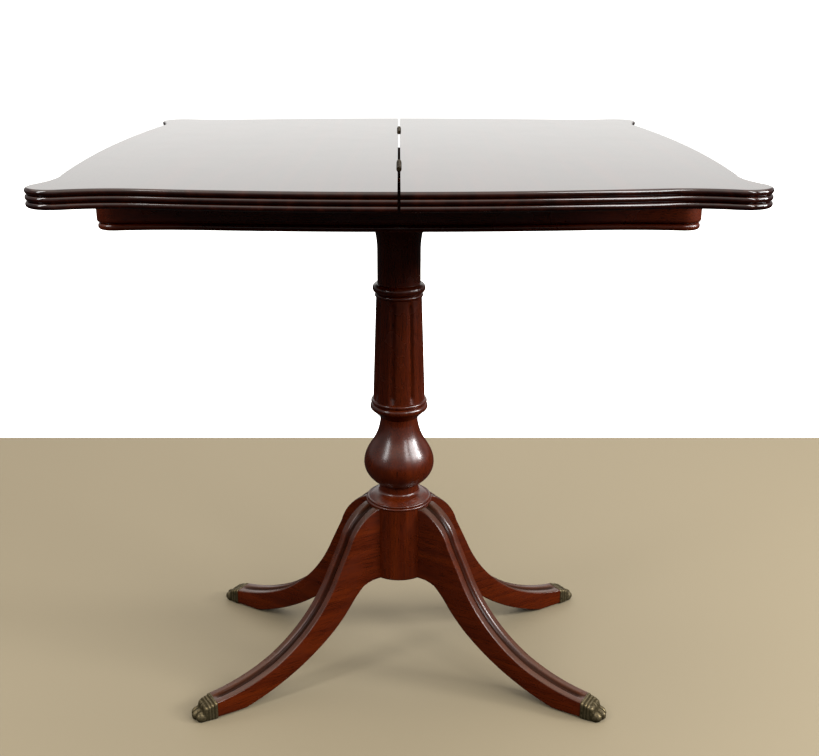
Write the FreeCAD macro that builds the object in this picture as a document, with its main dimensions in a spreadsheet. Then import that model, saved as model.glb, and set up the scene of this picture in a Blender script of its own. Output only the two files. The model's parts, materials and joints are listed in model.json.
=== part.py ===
"""Flip-top pedestal table: a serpentine top in two leaves that swivels and folds on a turned column."""
import FreeCAD, Part
import math
import os
import re

import Sketcher

doc = FreeCAD.newDocument("flip_top_table")

# Driving sizes in millimetres and degrees. Z is up from the floor, X runs across the seam
# and Y along it, and the column's axis stands at the origin.
SIZES = {
    # the top, both leaves open
    "table_height": 740.5,
    "leaf_thickness": 20,
    "top_width": 737,
    "top_length": 734,
    "seam_gap": 3,
    "ear_radius": 30,
    "hollow_reach": 90,
    "end_hollow": 10,
    "end_bow": 22.5,
    "side_hollow": 13.5,
    "reed_depth": 3,
    # butt hinges in the seam
    "hinge_spacing": 380,
    "hinge_length": 64,
    "hinge_plate_height": 16,
    "hinge_plate_thickness": 1.5,
    "hinge_plate_gap": 0.2,
    "fold_clearance": 0.6,
    "knuckle_radius": 2.6,
    "knuckle_room": 0.3,
    "knuckle_gap": 0.3,
    "hinge_pin_radius": 1.2,
    "hinge_pin_clearance": 0.05,
    "hinge_screw_radius": 1.2,
    "hinge_screw_head": 2.3,
    "hinge_screw_length": 14,
    "hinge_screw_drop": 10,
    "hinge_screw_pitch": 21,
    # the frame under the top
    "apron_end_overhang": 14.5,
    "apron_side_overhang": 21.5,
    "apron_corner": 22,
    "apron_hollow_reach": 85,
    "apron_hollow": 5,
    "apron_bow": 13,
    "rail_height": 49.5,
    "rail_edge_radius": 4,
    "end_rail_thickness": 20,
    "bead_height": 8,
    "bead_inset": 1,
    "bead_edge_radius": 3.6,
    "corner_block_leg": 45,
    "corner_block_height": 36,
    # felt discs that carry the leaves
    "glide_radius": 8,
    "glide_thickness": 1.5,
    "glide_clearance": 0.3,
    "glide_spread": 300,
    "glide_setback": 9,
    "glide_end_inset": 16,
    # cross bearers and the block that takes the column
    "bearer_width": 56,
    "bearer_thickness": 25,
    "block_length": 300,
    "block_depth": 130,
    "block_thickness": 26,
    "block_screw_radius": 2.5,
    "block_screw_head": 5,
    "block_screw_length": 42,
    "block_screw_spread": 90,
    "block_screw_pitch": 28,
    # the swivel
    "pivot_plate_margin": 2.5,
    "pivot_plate_thickness": 3,
    "plate_screw_radius": 2,
    "plate_screw_head": 4,
    "plate_screw_length": 15,
    "plate_screw_inset": 12,
    "pivot_bolt_radius": 5,
    "pivot_bolt_clearance": 0.05,
    "pivot_bush_wall": 3,
    "swivel_clearance": 0.3,
    "thrust_washer_radius": 20,
    "thrust_washer_thickness": 2,
    "lower_washer_radius": 14,
    "lower_washer_thickness": 2,
    "spring_washer_radius": 10,
    "spring_washer_height": 2.5,
    "lock_nut_radius": 9.5,
    "lock_nut_height": 8,
    "bolt_tail": 3,
    "stop_peg_radius": 5,
    "stop_peg_length": 22,
    "stop_peg_reach": 100,
    "stop_block_length": 34,
    "stop_block_height": 18,
    # the turned column, from its tenon in the hub upwards
    "lower_tenon_radius": 18,
    "lower_tenon_length": 80,
    "disc_radius": 46.5,
    "disc_rim": 7,
    "disc_rim_swell": 2,
    "disc_rise": 14,
    "disc_cove": 1.9,
    "waist_radius": 27.2,
    "waist_height": 6,
    "vase_radius": 48,
    "vase_bowl": 31.5,
    "vase_bowl_swell": 5.3,
    "vase_shoulder": 23.7,
    "vase_shoulder_swell": 1.1,
    "vase_shoulder_radius": 40.2,
    "vase_neck": 36.3,
    "vase_neck_hollow": 3.4,
    "neck_radius": 25.9,
    "neck_height": 6.4,
    "collar_rise": 10.2,
    "collar_radius": 35.6,
    "collar_torus": 10.2,
    "collar_torus_swell": 3.9,
    "collar_bead": 6,
    "collar_bead_swell": 2.8,
    "shaft_foot_radius": 35.4,
    "shaft_head_radius": 30.7,
    "shaft_core_depth": 2.6,
    "reed_radius": 18,
    "reed_foot_sink": 2,
    "reed_head_sink": 2,
    "reed_turn": 7,
    "ring_radius": 30.4,
    "ring_bead": 6,
    "ring_bead_swell": 2,
    "ring_torus": 13,
    "ring_torus_swell": 5,
    "drum_radius": 28.9,
    "drum_height": 41,
    "flare_height": 61,
    "flare_hollow": 3.8,
    "flare_radius": 43,
    "upper_tenon_radius": 22,
    "upper_tenon_length": 24,
    # hub and legs
    "hub_radius": 45,
    "hub_bottom": 142.5,
    "hub_top": 249.5,
    "hub_edge_radius": 3,
    "leg_angle": 31.1,
    "leg_root_width": 35,
    "leg_toe_width": 29,
    "leg_end": 292,
    "leg_end_height": 25,
    "leg_end_bottom": 2.5,
    "knee_start": 46,
    "knee_radius": 88,
    "knee_height": 201,
    "knee_swell": 7,
    "shin_radius": 107,
    "shin_height": 161.5,
    "sweep_depth": 12,
    "arch_radius": 204,
    "arch_height": 52,
    "instep_depth": 4.3,
    "calf_radius": 89,
    "calf_height": 107,
    "calf_depth": 14.3,
    "calf_cove": 10,
    "sole_start": 252,
    "channel_width": 27,
    "channel_depth": 1.8,
    "leg_bead_width": 4,
    "dowel_radius": 5,
    "dowel_length": 50,
    "dowel_low": 171.5,
    "dowel_high": 219.5,
    "hub_plate_radius": 36,
    "hub_plate_thickness": 2,
    "hub_screw_radius": 2,
    "hub_screw_head": 4,
    "hub_screw_length": 20,
    "hub_screw_circle": 26,
    # brass toe caps
    "toe_wall": 3.5,
    "toe_tip": 324,
    "toe_tongue_end": 305,
    "toe_width": 29,
    "toe_collar": 5,
    "toe_collar_proud": 1,
    "toe_brow_height": 20.5,
    "toe_brow_radius": 309,
    "toe_brow_swell": 0.8,
    "toe_nail_height": 7,
    "toe_nail_swell": 1.1,
    "toe_top_height": 13,
    "toe_top_radius": 317,
    "toe_top_swell": 2,
    "toe_notch": 2,
    "toe_lobe_width": 10,
    "toe_lobe_swell": 4,
    "toe_side_lobe_swell": 3.5,
    "toe_sole_inset": 4.5,
    "toe_ridge_offset": 8,
    "toe_ridge_width": 3,
    "toe_pin_radius": 1.2,
    "toe_pin_length": 9,
}

# Places that follow from the sizes.
PLACES = {
    "leaf_bottom": "table_height - leaf_thickness",
    "seam_edge": "seam_gap / 2",
    "leaf_depth": "top_width / 2 - seam_edge",
    "fold_axis": "table_height + fold_clearance / 2",
    # the outline is a chain of tangent arcs: bow, hollow, ear, hollow, bow
    "end_valley_x": "top_width / 2 - hollow_reach",
    "end_ear_sum": "((hollow_reach - ear_radius) ^ 2 + end_hollow ^ 2) / (2 * end_hollow)",
    "end_hollow_radius": "end_ear_sum - ear_radius",
    "end_bow_sum": "(end_valley_x ^ 2 + end_bow ^ 2) / (2 * end_bow)",
    "end_bow_radius": "end_bow_sum - end_hollow_radius",
    "end_reach": "top_length / 2 - end_hollow + end_bow",
    "side_valley_y": "top_length / 2 - hollow_reach",
    "side_ear_sum": "((hollow_reach - ear_radius) ^ 2 + side_hollow ^ 2) / (2 * side_hollow)",
    "side_hollow_radius": "side_ear_sum - ear_radius",
    "side_bow_sum": "(side_valley_y ^ 2 + side_hollow ^ 2) / (2 * side_hollow)",
    "side_bow_radius": "side_bow_sum - side_hollow_radius",
    "reed_height": "leaf_thickness / 3",
    # the frame: the open top overhangs its ends, the closed top its sides
    "apron_length": "top_width - 2 * apron_end_overhang",
    "apron_depth": "leaf_depth - 2 * apron_side_overhang",
    "frame_top": "leaf_bottom - glide_clearance - glide_thickness",
    "rail_bottom": "frame_top - rail_height",
    "bead_bottom": "rail_bottom - bead_height",
    "rail_inside": "apron_depth / 2 - apron_corner",
    "apron_valley_x": "apron_length / 2 - apron_hollow_reach",
    # swivel: the closed top stands over the column, so the pivot lies on the diagonal
    "leaf_centre": "seam_edge + leaf_depth / 2",
    "pivot_place": "leaf_centre / 2",
    "pivot_plate_bottom": "leaf_bottom - pivot_plate_thickness",
    "pivot_plate_radius": "rail_inside - pivot_place - pivot_plate_margin",
    "plate_screw_circle": "pivot_plate_radius - plate_screw_inset",
    "bearer_top": "pivot_plate_bottom - swivel_clearance - thrust_washer_thickness",
    "bearer_bottom": "bearer_top - bearer_thickness",
    "block_bottom": "bearer_bottom - block_thickness",
    "lower_washer_top": "bearer_bottom - swivel_clearance",
    "spring_washer_top": "lower_washer_top - lower_washer_thickness",
    "lock_nut_top": "spring_washer_top - spring_washer_height",
    "bolt_end": "lock_nut_top - lock_nut_height - bolt_tail",
    "stop_peg_offset": "rail_inside - pivot_place - stop_peg_radius - swivel_clearance",
    "stop_block_face": "pivot_place - stop_peg_reach - stop_peg_radius - swivel_clearance",
    # column levels, stacked from the hub up and from the block down
    "disc_top": "hub_top + disc_rim",
    "waist_bottom": "disc_top + disc_rise",
    "waist_top": "waist_bottom + waist_height",
    "vase_middle": "waist_top + vase_bowl",
    "vase_top": "vase_middle + vase_shoulder",
    "neck_bottom": "vase_top + vase_neck",
    "neck_top": "neck_bottom + neck_height",
    "collar_bottom": "neck_top + collar_rise",
    "collar_seat": "collar_bottom + collar_torus",
    "shaft_bottom": "collar_seat + collar_bead",
    "flare_bottom": "block_bottom - flare_height",
    "drum_bottom": "flare_bottom - drum_height",
    "ring_seat": "drum_bottom - ring_torus",
    "shaft_top": "ring_seat - ring_bead",
    "shaft_length": "shaft_top - shaft_bottom",
}

sheet = doc.addObject("Spreadsheet::Sheet", "Sizes")
for row, (name, size) in enumerate(SIZES.items(), start=1):
    sheet.set(f"A{row}", name)
    sheet.set(f"B{row}", str(size))
    sheet.setAlias(f"B{row}", name)

places = doc.addObject("Spreadsheet::Sheet", "Places")


def full(text):
    """Point each bare name in an expression at the sheet that holds it."""
    def owner(match):
        word = match.group()
        if word in SIZES:
            return f"Sizes.{word}"
        if word in PLACES:
            return f"Places.{word}"
        return word
    return re.sub(r"[a-z_]+", owner, str(text))


for row, (name, formula) in enumerate(PLACES.items(), start=1):
    places.set(f"A{row}", name)
    places.set(f"B{row}", "=" + full(formula))
    places.setAlias(f"B{row}", name)
doc.recompute()


working = doc.addObject("Spreadsheet::Sheet", "Working")


def number(text):
    """The present value of an expression, worked out in a spare cell."""
    working.set("A1", "=" + full(text))
    working.recompute()
    return float(working.get("A1"))


def bind(item, prop, text):
    item.setExpression(prop, full(text))


def place(item, x, y, z, rotation=None):
    """Turn a piece, then tie its position to the sheets."""
    if rotation:
        item.Placement = FreeCAD.Placement(FreeCAD.Vector(), rotation)
    for axis, text in zip("xyz", (x, y, z)):
        bind(item, f"Placement.Base.{axis}", text)


ALONG_X = FreeCAD.Rotation(FreeCAD.Vector(0, 1, 0), 90)
ALONG_MINUS_X = FreeCAD.Rotation(FreeCAD.Vector(0, 1, 0), -90)
ALONG_Y = FreeCAD.Rotation(FreeCAD.Vector(1, 0, 0), -90)
UPSIDE_DOWN = FreeCAD.Rotation(FreeCAD.Vector(1, 0, 0), 180)
HALF_TURN = FreeCAD.Rotation(FreeCAD.Vector(0, 0, 1), 180)


def box(name, size, at):
    item = doc.addObject("Part::Box", name)
    for prop, text in zip(("Length", "Width", "Height"), size):
        bind(item, prop, text)
    place(item, *at)
    return item


def cylinder(name, radius, height, at, rotation=None):
    item = doc.addObject("Part::Cylinder", name)
    bind(item, "Radius", radius)
    bind(item, "Height", height)
    place(item, *at, rotation)
    return item


def cone(name, radius_start, radius_end, height, at, rotation=None):
    item = doc.addObject("Part::Cone", name)
    bind(item, "Radius1", radius_start)
    bind(item, "Radius2", radius_end)
    bind(item, "Height", height)
    place(item, *at, rotation)
    return item


def cut(name, base, tool):
    item = doc.addObject("Part::Cut", name)
    item.Base = base
    item.Tool = tool
    item.Refine = True
    return item


def fuse(name, items):
    item = doc.addObject("Part::MultiFuse", name)
    item.Shapes = items
    item.Refine = True
    return item


def common(name, first, second):
    item = doc.addObject("Part::MultiCommon", name)
    item.Shapes = [first, second]
    return item


def group(name, items):
    """Separate solids that share one node."""
    item = doc.addObject("Part::Compound", name)
    item.Links = items
    return item


def washer(name, radius, hole, height, at):
    disc = cylinder(name + "_disc", radius, height, at)
    bore = cylinder(name + "_bore", hole, height, at)
    return cut(name, disc, bore)


def screw(name, head, shank, length, at, rotation=None):
    """A countersunk wood screw, driven along its own Z from the head's face."""
    top = cone(name + "_head", head, shank, f"{head} - {shank}", at, rotation)
    body = cylinder(name + "_shank", shank, length, at, rotation)
    return fuse(name, [top, body])


# Sketches: each corner is tied to the sheets by its own pair of coordinates.


def new_sketch(body, name, plane_role):
    plane = next(item for item in body.Origin.OriginFeatures if item.Role == plane_role)
    sketch = body.newObject("Sketcher::SketchObject", name)
    sketch.AttachmentSupport = (plane, [""])
    sketch.MapMode = "FlatFace"
    return sketch


def arc_between(start, end, radius, turn):
    """The arc of less than half a turn from start to end; turn is 1 anticlockwise, -1 clockwise."""
    middle = (start + end) * 0.5
    chord = end - start
    half = chord.Length / 2
    normal = FreeCAD.Vector(-chord.y, chord.x, 0).normalize()
    centre = middle + normal * (turn * math.sqrt(max(radius ** 2 - half ** 2, 0)))
    crown = centre - normal * (turn * radius)
    return Part.Arc(start, crown, end)


def draw(sketch, corners, bends=None, closed=True):
    """Lines and arcs through corners; bends maps a segment's index to (radius text, turn)."""
    bends = bends or {}
    points = [FreeCAD.Vector(number(x), number(y), 0) for x, y in corners]
    count = len(corners) if closed else len(corners) - 1
    ends = []
    for index in range(count):
        start = points[index]
        end = points[(index + 1) % len(points)]
        if index in bends:
            radius, turn = bends[index]
            edge = sketch.addGeometry(arc_between(start, end, number(radius), turn))
            ends.append((edge, 1, 2) if turn > 0 else (edge, 2, 1))
        else:
            edge = sketch.addGeometry(Part.LineSegment(start, end))
            ends.append((edge, 1, 2))
    links = count if closed else count - 1
    for index in range(links):
        here = ends[index]
        after = ends[(index + 1) % count]
        sketch.addConstraint(Sketcher.Constraint("Coincident", here[0], here[2], after[0], after[1]))
    for index, corner in enumerate(corners):
        edge, first, last = ends[min(index, count - 1)]
        vertex = first if index < count else last
        for kind, text in zip(("DistanceX", "DistanceY"), corner):
            tie = sketch.addConstraint(Sketcher.Constraint(kind, -1, 1, edge, vertex, number(text)))
            bind(sketch, f"Constraints[{tie}]", text)
    for index, (radius, turn) in bends.items():
        tie = sketch.addConstraint(Sketcher.Constraint("Radius", ends[index][0], number(radius)))
        bind(sketch, f"Constraints[{tie}]", radius)
    return sketch


def bulge(start, end, depth):
    """Radius of the arc that stands a given depth off its chord, as an expression."""
    width = f"(({end[0]}) - ({start[0]}))"
    height = f"(({end[1]}) - ({start[1]}))"
    return f"(({width} ^ 2 + {height} ^ 2) / 4 + ({depth}) ^ 2) / (2 * ({depth}))"


def bulges(corners, depths):
    """Bends for draw(), given the depth and turn of each curved segment."""
    following = corners[1:] + corners[:1]
    return {
        index: (bulge(corners[index], following[index], depth), turn)
        for index, (depth, turn) in depths.items()
    }


def new_body(name):
    return doc.addObject("PartDesign::Body", name)


def pad(body, sketch, length, symmetric=False):
    feature = body.newObject("PartDesign::Pad", sketch.Name + "_pad")
    feature.Profile = sketch
    bind(feature, "Length", length)
    if symmetric:
        feature.SideType = "Symmetric"
    return feature


def extruded(name, corners, bends, length, plane_role="XY_Plane", symmetric=False):
    body = new_body(name)
    sketch = draw(new_sketch(body, name + "_outline", plane_role), corners, bends)
    pad(body, sketch, length, symmetric)
    return body


def turned(name, corners, bends):
    """A turning about Z from its half profile."""
    body = new_body(name)
    sketch = draw(new_sketch(body, name + "_profile", "XZ_Plane"), corners, bends)
    feature = body.newObject("PartDesign::Revolution", name + "_turning")
    feature.Profile = sketch
    feature.ReferenceAxis = (sketch, ["V_Axis"])
    feature.Angle = 360
    return body


def softened(body, feature, edges, radius):
    """Round the named edges of a body's last feature."""
    fillet = body.newObject("PartDesign::Fillet", body.Name + "_softened")
    fillet.Base = (feature, edges)
    bind(fillet, "Radius", radius)
    return fillet


TOUCH = 0.01
PIECES = {}


def keep(name, item):
    item.Label = name
    PIECES[name] = item
    return item


# The top's outline, right leaf. Each tangent point lies on the line between two arcs' centres.


def leaf_chain():
    """Corners and bends of the leaf's three shaped edges, from the front seam to the rear seam."""
    bow_share = "end_bow_radius / end_bow_sum"
    ear_end_share = "ear_radius / end_ear_sum"
    ear_side_share = "ear_radius / side_ear_sum"
    side_share = "side_bow_radius / side_bow_sum"
    inner = "(hollow_reach - ear_radius)"
    half_width = "top_width / 2"
    half_length = "top_length / 2"
    front = [
        (f"end_valley_x * {bow_share}", f"end_reach - end_bow * {bow_share}"),
        (f"{half_width} - ear_radius - {inner} * {ear_end_share}", f"{half_length} - end_hollow * {ear_end_share}"),
        (f"{half_width} - side_hollow * {ear_side_share}", f"{half_length} - ear_radius - {inner} * {ear_side_share}"),
        (f"{half_width} - side_hollow * {side_share}", f"side_valley_y * {side_share}"),
    ]
    rear = list(reversed(front))
    corners = [(x, f"-({y})") for x, y in front] + rear
    bends = ["end_hollow_radius", "ear_radius", "side_hollow_radius", "side_bow_radius"]
    bends = bends + list(reversed(bends[:3]))
    turns = [-1, 1, -1, 1, -1, 1, -1]
    return corners, list(zip(bends, turns))


def leaf_outline(sketch, seam, closed):
    """The leaf's edge from seam to seam; closed adds the straight seam itself."""
    seam_y = f"end_reach - end_bow_radius + sqrt(end_bow_radius ^ 2 - ({seam}) ^ 2)"
    chain, arcs = leaf_chain()
    corners = [(seam, f"-({seam_y})")] + chain + [(seam, seam_y)]
    bends = [("end_bow_radius", 1)] + arcs + [("end_bow_radius", 1)]
    return draw(sketch, corners, dict(enumerate(bends)), closed)


def leaf_blank(name, rotation):
    """One leaf: a board with three half-round reeds run along its shaped edges."""
    body = new_body(name + "_board")
    board = leaf_outline(new_sketch(body, name + "_outline", "XY_Plane"), "seam_edge", True)
    pad(body, board, "leaf_thickness")
    path = leaf_outline(new_sketch(body, name + "_edge", "XY_Plane"), "0", False)
    cutter = new_sketch(body, name + "_reeds", "YZ_Plane")
    root = "-(end_reach - reed_depth)"
    outside = "-(end_reach + reed_depth)"
    corners = [(root, f"reed_height * {step}") for step in range(4)]
    corners = [(outside, "0")] + corners + [(outside, "leaf_thickness")]
    depths = {step: ("reed_depth", -1) for step in (1, 2, 3)}
    draw(cutter, corners, bulges(corners, depths))
    reeding = body.newObject("PartDesign::SubtractivePipe", name + "_reeding")
    reeding.Profile = cutter
    reeding.Spine = path
    place(body, "0", "0", "leaf_bottom", rotation)
    return body


# Butt hinges: plates let into the meeting edges, so that only the knuckles cross the seam.
KNUCKLES = 5
HINGE_SCREWS = 3
hinge_rows = {"front": "-hinge_spacing / 2", "rear": "hinge_spacing / 2"}
knuckle_pitch = f"(hinge_length / {KNUCKLES})"


def hinge_flag(name, row, side):
    """The flat of a hinge plate, flush with the leaf's edge and just under its face."""
    left = "seam_edge" if side > 0 else "-seam_edge - hinge_plate_thickness"
    return box(
        name, ("hinge_plate_thickness", "hinge_length", "hinge_plate_height"),
        (left, f"{hinge_rows[row]} - hinge_length / 2", "table_height - hinge_plate_gap - hinge_plate_height"),
    )


def hinge_plate(name, row, side, own):
    """A hinge plate on one leaf: side is 1 on the fixed leaf, own lists its knuckles."""
    start = f"{hinge_rows[row]} - hinge_length / 2"
    flag = hinge_flag(name + "_flag", row, side)
    barrel = cylinder(name + "_barrel", "knuckle_radius", "hinge_length", ("0", start, "fold_axis"), ALONG_Y)
    plate = fuse(name + "_plate", [flag, barrel])
    gaps = []
    for step in range(KNUCKLES):
        if step not in own:
            gaps.append(cylinder(
                f"{name}_gap_{step}", "knuckle_radius + knuckle_room", f"{knuckle_pitch} + knuckle_gap",
                ("0", f"{start} + {knuckle_pitch} * {step} - knuckle_gap / 2", "fold_axis"), ALONG_Y,
            ))
    gaps.append(cylinder(
        name + "_bore", "hinge_pin_radius + hinge_pin_clearance", "hinge_length",
        ("0", start, "fold_axis"), ALONG_Y,
    ))
    return cut(name + "_blank", plate, fuse(name + "_gaps", gaps))


def hinge_screws(name, row, side):
    items = []
    for step in range(HINGE_SCREWS):
        along = f"{hinge_rows[row]} + hinge_screw_pitch * ({step} - {(HINGE_SCREWS - 1) / 2})"
        face = "seam_edge" if side > 0 else "-seam_edge"
        items.append(screw(
            f"{name}_{row}_{step}", "hinge_screw_head", "hinge_screw_radius", "hinge_screw_length",
            (face, along, "table_height - hinge_screw_drop"), ALONG_X if side > 0 else ALONG_MINUS_X,
        ))
    return items


hinge_screw_groups = {}
for leaf, side, own in (("fixed", 1, (0, 2, 4)), ("flip", -1, (1, 3))):
    screws = []
    for row in hinge_rows:
        row_screws = hinge_screws(f"hinge_screw_{leaf}", row, side)
        blank = hinge_plate(f"hinge_{row}_{leaf}", row, side, own)
        holes = group(f"hinge_{row}_{leaf}_holes", row_screws)
        keep(f"hinge_{row}_{leaf}_plate", cut(f"hinge_{row}_{leaf}_plate", blank, holes))
        screws += row_screws
    hinge_screw_groups[leaf] = keep(f"hinge_screws_{leaf}", group(f"hinge_screws_{leaf}", screws))

for row, middle in hinge_rows.items():
    keep(f"hinge_{row}_pin", cylinder(
        f"hinge_{row}_pin", "hinge_pin_radius", "hinge_length",
        ("0", f"{middle} - hinge_length / 2", "fold_axis"), ALONG_Y,
    ))


def hinge_recesses(name, side):
    """What is cut from a leaf's edge for its hinges: a groove for the knuckles, a bed for each plate."""
    recesses = []
    for row, middle in hinge_rows.items():
        recesses.append(cylinder(
            f"{name}_groove_{row}", "knuckle_radius + knuckle_room", "hinge_length + 2 * knuckle_room",
            ("0", f"{middle} - hinge_length / 2 - knuckle_room", "fold_axis"), ALONG_Y,
        ))
        recesses.append(hinge_flag(f"{name}_bed_{row}", row, side))
    return fuse(name, recesses)


# The swivel: a plate and bolt under the fixed leaf, turning in a bush in one bearer.
pivot = ("pivot_place", "pivot_place")

plate_screws = []
for step in range(4):
    direction = f"({step} + 0.5) * 90 deg"
    plate_screws.append(screw(
        f"plate_screw_{step}", "plate_screw_head", "plate_screw_radius", "plate_screw_length",
        (
            f"pivot_place + plate_screw_circle * cos({direction})",
            f"pivot_place + plate_screw_circle * sin({direction})",
            "pivot_plate_bottom",
        ),
    ))
plate_screw_group = keep("pivot_plate_screws", group("pivot_plate_screws", plate_screws))

plate_blank = cylinder(
    "pivot_plate_blank", "pivot_plate_radius", "pivot_plate_thickness", (*pivot, "pivot_plate_bottom"),
)
keep("pivot_plate", cut("pivot_plate", plate_blank, plate_screw_group))
keep("pivot_bolt", cylinder(
    "pivot_bolt", "pivot_bolt_radius", "pivot_plate_bottom - bolt_end", (*pivot, "bolt_end"),
))
bush_radius = "pivot_bolt_radius + pivot_bolt_clearance + pivot_bush_wall"
keep("pivot_bush", washer(
    "pivot_bush", bush_radius, "pivot_bolt_radius + pivot_bolt_clearance", "bearer_thickness",
    (*pivot, "bearer_bottom"),
))
keep("thrust_washer", washer(
    "thrust_washer", "thrust_washer_radius", "pivot_bolt_radius + pivot_bolt_clearance",
    "thrust_washer_thickness", (*pivot, "bearer_top"),
))
keep("lower_washer", washer(
    "lower_washer", "lower_washer_radius", "pivot_bolt_radius", "lower_washer_thickness",
    (*pivot, "spring_washer_top"),
))
spring_blank = cone(
    "spring_washer_blank", "spring_washer_radius", "pivot_bolt_radius + spring_washer_height",
    "spring_washer_height", (*pivot, "lock_nut_top"),
)
spring_bore = cylinder("spring_washer_bore", "pivot_bolt_radius", "spring_washer_height", (*pivot, "lock_nut_top"))
keep("spring_washer", cut("spring_washer", spring_blank, spring_bore))
nut_blank = doc.addObject("Part::Prism", "lock_nut_blank")
nut_blank.Polygon = 6
bind(nut_blank, "Circumradius", "lock_nut_radius")
bind(nut_blank, "Height", "lock_nut_height")
place(nut_blank, *pivot, "lock_nut_top - lock_nut_height")
nut_bore = cylinder("lock_nut_bore", "pivot_bolt_radius", "lock_nut_height", (*pivot, "lock_nut_top - lock_nut_height"))
keep("lock_nut", cut("lock_nut", nut_blank, nut_bore))

peg = keep("swivel_stop_peg", cylinder(
    "swivel_stop_peg", "stop_peg_radius", "stop_peg_length",
    ("pivot_place + stop_peg_reach", "pivot_place + stop_peg_offset", "leaf_bottom - stop_peg_length"),
))

fixed_cuts = hinge_recesses("fixed_leaf_notches", 1)
fixed_board = cut("fixed_leaf_notched", leaf_blank("fixed_leaf", None), fixed_cuts)
fixed_holes = group("fixed_leaf_holes", [hinge_screw_groups["fixed"], plate_screw_group])
keep("fixed_leaf", cut("fixed_leaf", fixed_board, fixed_holes))

flip_cuts = hinge_recesses("flip_leaf_notches", -1)
flip_board = cut("flip_leaf_notched", leaf_blank("flip_leaf", HALF_TURN), flip_cuts)
keep("flip_leaf", cut("flip_leaf", flip_board, hinge_screw_groups["flip"]))


# The apron: shaped rails front and back, straight ends, and a bead planted underneath.


def shaped_board(name, inset, height, level, rotation):
    """A board with a serpentine outer face, rounded at both corners and straight inside."""
    length = f"(apron_length / 2 - {inset})"
    depth = f"(apron_depth / 2 - {inset})"
    corner = f"(apron_corner - {inset})"
    corner_sum = "(((apron_hollow_reach - apron_corner) ^ 2 + apron_hollow ^ 2) / (2 * apron_hollow))"
    hollow = f"({corner_sum} - {corner})"
    bow_sum = "((apron_valley_x ^ 2 + apron_bow ^ 2) / (2 * apron_bow))"
    bow = f"({bow_sum} - {hollow})"
    reach = "(apron_hollow_reach - apron_corner)"
    ear = (f"{length} - {corner} - {reach} * {corner} / {corner_sum}", f"-({depth} - apron_hollow * {corner} / {corner_sum})")
    middle_depth = f"({depth} - apron_hollow + apron_bow)"
    swell = (f"apron_valley_x * {bow} / {bow_sum}", f"-({middle_depth} - apron_bow * {bow} / {bow_sum})")
    left = [(f"-({x})", y) for x, y in (ear, swell)]
    corners = [(f"-{length}", "-rail_inside")] + left + [swell, ear, (length, "-rail_inside")]
    bends = {0: (corner, 1), 1: (hollow, -1), 2: (bow, 1), 3: (hollow, -1), 4: (corner, 1)}
    body = extruded(name, corners, bends, height)
    place(body, "0", "0", level, rotation)
    return body


def level_edges(body, levels, wanted):
    """Names of a board's level edges at the given heights that the test wanted() picks."""
    doc.recompute()
    names = []
    for index, edge in enumerate(body.Tip.Shape.Edges, start=1):
        box_of_edge = edge.BoundBox
        at_level = any(abs(box_of_edge.Center.z - number(level)) < TOUCH for level in levels)
        if box_of_edge.ZLength < TOUCH and at_level and wanted(edge):
            names.append(f"Edge{index}")
    return names


def curved(edge):
    return isinstance(edge.Curve, Part.Circle)


for row, rotation in (("front", None), ("back", HALF_TURN)):
    rail = shaped_board(f"apron_{row}", "0", "rail_height", "rail_bottom", rotation)
    softened(rail, rail.Tip, level_edges(rail, ["0"], curved), "rail_edge_radius")
    keep(f"apron_{row}", rail)
    bead = shaped_board(f"apron_bead_{row}", "bead_inset", "bead_height", "bead_bottom", rotation)
    softened(bead, bead.Tip, level_edges(bead, ["0", "bead_height"], curved), "bead_edge_radius")
    keep(f"apron_bead_{row}", bead)


def end_board(name, inset, height, level, rotation):
    """A straight end rail or bead between the shaped boards."""
    outer = f"apron_length / 2 - {inset}"
    inner = "apron_length / 2 - end_rail_thickness"
    corners = [(inner, "-rail_inside"), (outer, "-rail_inside"), (outer, "rail_inside"), (inner, "rail_inside")]
    body = extruded(name, corners, None, height)
    place(body, "0", "0", level, rotation)
    return body


def outermost(edge):
    """True for the outer long edges of an end board, drawn on the +X side."""
    return edge.BoundBox.XLength < TOUCH and edge.BoundBox.XMin > number("apron_length / 2 - 2 * bead_inset")


for row, rotation in (("right", None), ("left", HALF_TURN)):
    rail = end_board(f"apron_{row}", "0", "rail_height", "rail_bottom", rotation)
    softened(rail, rail.Tip, level_edges(rail, ["0"], outermost), "rail_edge_radius")
    keep(f"apron_{row}", rail)
    bead = end_board(f"apron_bead_{row}", "bead_inset", "bead_height", "bead_bottom", rotation)
    softened(bead, bead.Tip, level_edges(bead, ["0", "bead_height"], outermost), "bead_edge_radius")
    keep(f"apron_bead_{row}", bead)

corner_blocks = []
for turn_x in (-1, 1):
    for turn_y in (-1, 1):
        inner_x = f"{turn_x} * (apron_length / 2 - end_rail_thickness)"
        inner_y = f"{turn_y} * rail_inside"
        corners = [
            (inner_x, inner_y),
            (f"{inner_x} - {turn_x} * corner_block_leg", inner_y),
            (inner_x, f"{inner_y} - {turn_y} * corner_block_leg"),
        ]
        block = extruded(f"corner_block_{len(corner_blocks)}", corners, None, "corner_block_height")
        place(block, "0", "0", "rail_bottom")
        corner_blocks.append(block)
keep("corner_blocks", group("corner_blocks", corner_blocks))

end_rail_line = "(apron_length / 2 - end_rail_thickness / 2)"
rail_line = "(rail_inside + glide_setback)"
glides = []
for turn_x in (-1, 1):
    for turn_y in (-1, 1):
        spots = (
            (f"{turn_x} * {end_rail_line}", f"{turn_y} * (rail_inside - glide_end_inset)"),
            (f"{turn_x} * glide_spread / 2", f"{turn_y} * {rail_line}"),
        )
        for x, y in spots:
            glides.append(cylinder(f"glide_{len(glides)}", "glide_radius", "glide_thickness", (x, y, "frame_top")))
keep("swivel_glides", group("swivel_glides", glides))

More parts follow.
